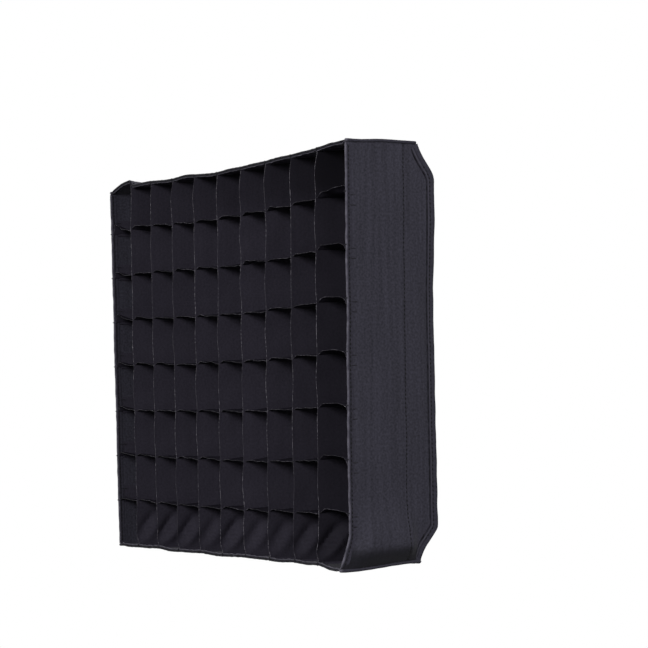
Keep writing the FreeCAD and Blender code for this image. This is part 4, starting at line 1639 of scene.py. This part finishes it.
@dataclass
class LatticeStrip:
    """A strip of the lattice, slotted half-way at each strip that it crosses.

    Its slots come from behind or, where a kind of strip says so, from in front.
    """

    slotted_behind = True
    shop: Workshop
    number: int
    half_slot: float = 0.64 * MM
    slot_overlap: float = 0.4 * MM
    thickness: float = 0.3 * MM
    edge_radius: float = 0.15 * MM
    edge_spacing: float = 1.1 * MM
    end_gap: float = 1.4 * MM
    hem_gap: float = 1.9 * MM
    gap_fade: float = 6.0 * MM
    follow: float = 34.0 * MM
    turned_in: float = 16.0 * MM
    steps: int = 17

    def stations(self, half: float, crossings: np.ndarray) -> np.ndarray:
        """Places along the strip, closer together beside its slots."""
        slots = [c + s for c in crossings for s in (-self.half_slot, self.half_slot)]
        knots = [-half, *slots, half]
        wave = (1.0 - np.cos(np.linspace(0.0, math.pi, self.steps))) / 2.0
        cells = [low + (high - low) * wave for low, high in zip(knots[::2], knots[1::2])]
        return np.concatenate(cells)

    def places(
        self, half: float, cells: int, depths: tuple[float, float, float], steps: tuple[int, int]
    ) -> tuple[np.ndarray, np.ndarray, np.ndarray]:
        """The places of the strip's points, and which squares between them the slots leave.

        Args:
            half: half the strip's length.
            cells: how many cells the strips that cross it make along it.
            depths: its front, the ends of its slots, and its rear.
            steps: how many points deep it is in front of the slots' ends, and behind them.

        Returns:
            The places along the strip, those in its depth, and True for each square of cloth.
        """
        crossings = np.linspace(-half, half, cells + 1)[1:-1]
        along = self.stations(half, crossings)
        front, middle, rear = depths
        depth = np.linspace(front, middle, steps[0])
        depth = np.concatenate([depth, np.linspace(middle, rear, steps[1])[1:]])
        centres = (depth[1:] + depth[:-1]) / 2
        slotted = centres > middle if self.slotted_behind else centres < middle
        nearest = np.abs((along[1:] + along[:-1])[:, None] / 2 - crossings[None, :]).min(axis=1)
        in_slot = nearest < self.half_slot * 0.99
        keep = ~(in_slot[:, None] & slotted[None, :])
        return *np.meshgrid(along, depth, indexing="ij"), keep

    def held(
        self, along: np.ndarray, back: np.ndarray, aside: float, sides: tuple[Side, Side]
    ) -> np.ndarray:
        """The places along the strip: its ends follow the walls that they are sewn to.

        Args:
            along: the places before that.
            back: places in depth.
            aside: where the strip stands between the other two walls.
            sides: the side at its far end, and that at its near end.

        Returns:
            The places, which stop short of the walls and their hems.
        """
        sizes = self.shop.sizes
        half = SideFrame(sides[0], sizes).reach
        at_hem = ease((sizes.hem_rear + 1.6 * MM - back) / (1.6 * MM))
        gap = self.end_gap + (self.hem_gap - self.end_gap) * at_hem
        near_end = clamp((np.abs(along) - half + self.gap_fade) / self.gap_fade)
        moved = along - np.sign(along) * gap * near_end
        for side, way in zip(sides, (1.0, -1.0)):
            here = np.full_like(along, aside if side in (Side.BOTTOM, Side.RIGHT) else -aside)
            stands_in = self.shop.hang.inward(SideFrame(side, sizes), here, back)
            near = ease((way * along - half + self.follow) / self.follow)
            moved = moved - way * stands_in * near
        return moved

    def piece(
        self, name: str, middle: np.ndarray, cloth: tuple[np.ndarray, np.ndarray],
        keep: np.ndarray, finishes: tuple[str, str], tone: Places = 0.0,
    ) -> bpy.types.Object:
        """Makes the strip, with a sealed bead on its cut edges.

        Args:
            name: the piece's name.
            middle: the points of its mid-surface, before the front leans.
            cloth: the places along the strip and in its depth.
            keep: which squares are cloth.
            finishes: the names of the finishes of its faces and its edges.
            tone: its colour mark; on the column strips, a random darkening and painted shade.

        Returns:
            The strip.
        """
        middle = self.shop.hang.lean(middle)
        normal = facing_of(middle)
        half = normal * self.thickness / 2
        places = np.stack(cloth, axis=-1)
        sheet = ClothMesh()
        sheet.add_sheet(middle + half, middle - half, places, keep, rim_finish=1, worn=tone)
        for column in (0, keep.shape[1]):
            beside = keep[:, min(column, keep.shape[1] - 1)]
            starts = np.flatnonzero(np.diff(np.pad(beside.astype(int), 1)))
            for first, last in zip(starts[::2], starts[1::2]):
                run = slice(first, last + 1)
                travel = places[run, column, 0]
                stops = max(4, int(abs(travel[-1] - travel[0]) / self.edge_spacing))
                fine = np.linspace(travel[0], travel[-1], stops)
                line = resampled(middle[run, column], travel, fine)
                facing = resampled(normal[run, column], travel, fine)
                knobs = Ripple(self.number * 31 + column, 2.4 * MM, 9).at(fine)
                radius = self.edge_radius * (1.0 + 0.22 * np.clip(knobs, -1.2, 1.8))
                sheet.add_roll(edge_roll(line, facing, radius), fine, 1.6 * MM, finish=1)
        return sheet.build(name, *(self.shop.finishes[finish] for finish in finishes))


@dataclass
class ColumnStrip(LatticeStrip):
    """An upright strip: whole in front, and slotted from behind at each row.

    Its bows between its crossings are in millimetres.
    """

    low_pucker: float = 4.8 * MM
    pucker_spread: float = 3.8 * MM
    bows: Pair = (0.5, 2.5)
    unevenness: Pair = (0.22 * MM, 26.0 * MM)
    crossing_hold: float = 5.0 * MM
    end_hold: float = 8.0 * MM
    bend: Pair = (18.0 * MM, 6.0 * MM)

    def build(self) -> None:
        """Makes the strip."""
        sizes = self.shop.sizes
        node = f"column_strip_{self.number}"
        low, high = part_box(node)
        across, half = (low.x + high.x) / 2, sizes.half_height
        depths = (low.y, (low.y + high.y) / 2 - self.slot_overlap, high.y)
        up, back, keep = self.places(half, sizes.rows, depths, (15, 14))
        height = self.held(up, back, across, (Side.TOP, Side.BOTTOM))
        middle = np.stack([across + self.bulge(up, back, low.y), back, height], axis=-1)
        piece = self.piece(
            f"column_{self.number}_cloth", middle, (up, back), keep,
            ("strip_satin", "column_cut_edge"), self.tone(up),
        )
        start, end = ((across, 0.0, half - below) for below in self.bend)
        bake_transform(piece)
        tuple(start)
        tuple(end)
        stand_for(piece, node)

    def tone(self, up: np.ndarray) -> np.ndarray:
        """Its darkening: some at random, and painted shade at the right end and the top ends."""
        rng = np.random.default_rng(1700 + self.number)
        sizes = self.shop.sizes
        share = self.number / sizes.columns
        # cut: a small random darkening, and painted shade on the strips at the right end; end:
        # painted shade at the top ends.
        cut = 0.10 * rng.uniform(0.0, 1.0) + 0.38 * float(ease((share - 0.6) / 0.3))
        cut = cut + 0.20 * float(ease((share - 0.8) / 0.1))
        end = 0.14 + 0.26 * float(ease((share - 0.3) / 0.2))
        below_top = (sizes.half_height - up) / sizes.row_pitch
        return -cut - end * (1.0 - ease((below_top - 0.7) / 0.5))

    def bulge(self, up: np.ndarray, back: np.ndarray, front: float) -> np.ndarray:
        """How far the strip bows sideways between its crossings, with a fan of low folds."""
        sizes = self.shop.sizes
        rng = np.random.default_rng(1100 + self.number)
        above = up + sizes.half_height
        cell = above / sizes.row_pitch
        number = np.clip(cell.astype(int), 0, sizes.rows - 1)
        bows = -rng.uniform(*self.bows, sizes.rows) * MM
        bows *= np.where(rng.uniform(0.0, 1.0, sizes.rows) < 0.2, -0.6, 1.0)
        within = cell - number
        deep = 1.0 - 0.5 * ease((back - front) / (30.0 * MM))
        bow = bows[number] * np.sin(math.pi * within) ** 2 * deep
        aside = 0.80 * (back - front) - 0.60 * above
        fades = ease((36.0 * MM - above) / (14.0 * MM)) * ease(above / (15.0 * MM))
        ridge, groove = (mound(aside, at, self.pucker_spread) for at in (4.0 * MM, -4.0 * MM))
        pucker = self.low_pucker * rng.uniform(0.45, 1.0) * (ridge - groove) * fades
        small = self.unevenness[0] * Ripple(1200 + self.number, self.unevenness[1]).at(up, back)
        free = ease(np.abs(within - np.round(within)) * sizes.row_pitch / self.crossing_hold)
        to_end = ease((sizes.half_height - np.abs(up)) / self.end_hold)
        return (bow + small) * free * to_end + pucker


@dataclass
class RowStrip(LatticeStrip):
    """A level strip: slotted in front at each column, so its front hangs in loose tongues.

    Its arches and the heights that its right end is turned to, from the lowest row up, are in
    millimetres.
    """

    slotted_behind = False
    droop: float = 5.5 * MM
    left_lift: float = 6.5 * MM
    hump: float = 2.8 * MM
    turned_depth: float = 11.0 * MM
    squashed: float = 0.08
    arches: Pair = (1.4, 4.4)
    last_arch: Pair = (3.2, 4.4)
    unevenness: Pair = (0.30 * MM, 14.0 * MM)
    rear_wave: Pair = (0.8 * MM, 60.0 * MM)
    right_ends: tuple[float, ...] = (-4.4, -6.4, -5.8, -6.2, -6.6, -4.0, 5.6)

    def build(self) -> None:
        """Makes the strip and puts it on its row's body."""
        sizes = self.shop.sizes
        node = f"row_strip_{self.number}"
        low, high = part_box(node)
        level, half = (low.z + high.z) / 2, sizes.half_width
        depths = (low.y, (low.y + high.y) / 2 + self.slot_overlap, high.y)
        across, back, keep = self.places(half, sizes.columns, depths, (11, 8))
        height = level + self.rise(across, back, level, *depths[:2])
        held = self.held(across, back, level, (Side.RIGHT, Side.LEFT))
        piece = self.piece(
            f"row_{self.number}_cloth", np.stack([held, back, height], axis=-1),
            (across, back), keep, ("strip_satin_level", "row_cut_edge"),
        )
        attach(piece, f"row_{self.number}")
        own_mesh(piece)
        stand_for(piece, node)

    def rise(
        self, across: np.ndarray, back: np.ndarray, level: float, front: float, slot_end: float
    ) -> np.ndarray:
        """How far the strip hangs above or below its level.

        Args:
            across: places along the strip.
            back: places through its depth.
            level: the strip's height.
            front: the depth of its front edge.
            slot_end: the depth at which its slots end.

        Returns:
            The heights above the level.
        """
        sizes = self.shop.sizes
        rng = np.random.default_rng(1300 + self.number)
        cell = (across + sizes.half_width) / sizes.column_pitch
        number = np.clip(cell.astype(int), 0, sizes.columns - 1)
        within = clamp(cell - number)
        tall = (level + sizes.half_height) / (2 * sizes.half_height)
        arches = rng.uniform(*self.arches, sizes.columns) * (0.65 + 0.35 * tall) * MM
        arches[-1] = rng.uniform(*self.last_arch) * MM
        fall = rng.uniform(0.55, 1.15, sizes.columns)
        fall[-1] = 0.3
        climb = 0.25 + 0.75 * ease(within / 0.17)
        arch = arches[number] * climb * clamp(1.0 - within) ** fall[number]
        share = cell / sizes.columns
        hung = -self.droop * (0.45 + 0.55 * tall) * np.sin(math.pi * clamp(share) ** 1.5)
        hung = hung + self.hump * tall**3 * mound(share, 0.17, 0.11)
        first = self.left_lift * tall * ease(1.0 - cell) ** 2
        small = self.unevenness[0] * Ripple(1400 + self.number, self.unevenness[1]).at(across, back)
        loose = ease((slot_end - back) / (slot_end - front))
        tight = np.sin(math.pi * within) ** 2
        height, length = self.rear_wave
        behind = height * Ripple(1500 + self.number, length).at(across, 0.0) * tight
        to_end = ease((sizes.half_width - np.abs(across)) / (3.0 * MM))
        last = clamp(cell - sizes.columns + 1.0)
        end = np.interp(tall, np.linspace(0.1, 0.9, len(self.right_ends)), self.right_ends) * MM
        turned = end * (last if end > 0.0 else last**7)
        turned = turned * ease((front + self.turned_depth - back) / self.turned_depth)
        return ((arch + hung + first + small) * loose + behind * (1 - loose)) * to_end + turned


# ---------------------------------------------------------------- the studio


def aim(
    made: bpy.types.Object, azimuth: float, elevation: float, distance: float,
    target: Triple = (0.0, 0.0, 0.0), roll: float = 0.0,
) -> None:
    """Places a lamp or a camera round a target, and turns it to face it.

    Args:
        made: the lamp or the camera.
        azimuth: its direction round the target, 0 in front, in degrees.
        elevation: its height above the horizon, in degrees.
        distance: how far away it is.
        target: what it faces.
        roll: its turn about its own line of sight, in degrees.
    """
    turn, rise = math.radians(azimuth), math.radians(elevation)
    level = math.cos(rise)
    back = Vector((math.sin(turn) * level, -math.cos(turn) * level, math.sin(rise)))
    facing = (-back).to_track_quat("-Z", "Y").to_matrix()
    facing = facing @ Matrix.Rotation(math.radians(roll), 3, "Z")
    place = Matrix.Translation(Vector(target) + back * distance)
    made.matrix_world = place @ facing.to_4x4()


@dataclass(frozen=True)
class Lamp:
    """A soft lamp that faces the grid: its place, its size in metres and its power in watts."""

    name: str
    azimuth: float
    elevation: float
    distance: float
    width: float
    height: float
    power: float

    def build(self) -> None:
        """Adds the lamp."""
        data = bpy.data.lights.new(self.name, "AREA")
        data.shape, data.energy = "RECTANGLE", self.power
        data.size, data.size_y = self.width, self.height
        aim(put(self.name, data), self.azimuth, self.elevation, self.distance)


@dataclass
class Studio:
    """A camera, three soft lamps, a white surround and a pale floor."""

    azimuth: float = 58.9
    elevation: float = -2.72
    roll: float = -0.55
    distance: float = 1.7848
    target: Triple = (0.02383, 0.03674, 0.03006)
    lens: float = 118.62
    lamps: tuple[Lamp, ...] = (
        Lamp("key_lamp", 46.0, 13.0, 2.4, 0.75, 0.6, 42.0),
        Lamp("side_lamp", 101.0, 45.0, 2.6, 1.0, 1.0, 30.0),
        Lamp("rear_lamp", 212.0, 32.0, 2.6, 1.0, 1.0, 34.0),
    )
    surround: float = 0.17
    floor_grey: float = 0.12
    floor_seen: float = 0.86
    floor_level: float = -0.62
    floor_half: float = 14.0
    floor_fade: Pair = (0.9, 2.2)

    def camera(self) -> None:
        """Places the camera."""
        data = bpy.data.cameras.new("camera")
        data.lens, data.sensor_width = self.lens, 36.0
        data.clip_start, data.clip_end = 0.05, 100.0
        camera = put("camera", data)
        aim(camera, self.azimuth, self.elevation, self.distance, self.target, self.roll)
        bpy.context.scene.camera = camera

    @staticmethod
    def seen(desk: NodeDesk) -> Value:
        """1 for what the camera sees straight, in a gloss or through glass, or else 0."""
        path = desk.add("ShaderNodeLightPath")
        straight = path.out("Is Camera Ray").larger(path.out("Is Glossy Ray"))
        return straight.larger(path.out("Is Transmission Ray"))

    def world(self) -> None:
        """Makes the surround: white where it is seen, and dimmer as a light."""
        world = bpy.data.worlds.new("surround")
        desk = empty_desk(world)
        white = (1.0, 1.0, 1.0)
        colour = desk.mix(self.seen(desk), shade(white, self.surround), shade(white))
        sky = desk.add("ShaderNodeBackground", {"Color": colour})
        desk.add("ShaderNodeOutputWorld", {"Surface": sky})
        bpy.context.scene.world = world

    def floor(self) -> None:
        """Makes the floor: pale near the grid, and white far off where it is seen."""
        half, level = self.floor_half, self.floor_level
        mesh = bpy.data.meshes.new("floor")
        corners = ((-half, -half), (half, -half), (half, half), (-half, half))
        mesh.from_pydata([(*corner, level) for corner in corners], [], [(0, 1, 2, 3)])
        material = bpy.data.materials.new("pale_floor")
        desk = empty_desk(material)
        away = desk.add("ShaderNodeVectorMath", {0: desk.solid()}, operation="LENGTH").out()
        seen = self.seen(desk)
        white = (1.0, 1.0, 1.0)
        pale = desk.mix(seen, shade(white, self.floor_grey), shade(white, self.floor_seen))
        near = desk.add("ShaderNodeBsdfDiffuse", {"Color": pale})
        far = desk.add("ShaderNodeEmission", {"Strength": 1.0})
        share = seen * away.rise(*self.floor_fade)
        both = desk.add("ShaderNodeMixShader", {0: share, 1: near, 2: far})
        desk.add("ShaderNodeOutputMaterial", {"Surface": both})
        mesh.materials.append(material)
        put("floor", mesh)

    def build(self) -> None:
        """Sets up the whole studio."""
        self.camera()
        for lamp in self.lamps:
            lamp.build()
        self.world()
        self.floor()
        bpy.context.scene.view_settings.view_transform = "Standard"


# ---------------------------------------------------------------- the whole


def main() -> None:
    """Builds the grid and the studio round it."""
    logging.basicConfig(level=logging.INFO, format="%(message)s")
    Studio().build()
    sizes = GridSizes.from_frame()
    finishes = {finish.name: finish.make() for finish in FINISHES}
    stitches, bartacks = RunningStitch(finishes["black_thread"]), Bartack(finishes["dusty_thread"])
    shop = Workshop(sizes, Hang(sizes), finishes, stitches, bartacks)
    for corner, body in CORNER_BODIES.items():
        CornerSeam(shop, corner, body).build()
    for side in Side:
        Wall(shop, side).build()
        RearFlap(shop, side).build()
    for number in range(1, sizes.columns):
        ColumnStrip(shop, number).build()
    for number in range(1, sizes.rows):
        RowStrip(shop, number).build()


if __name__ == "__main__":
    main()
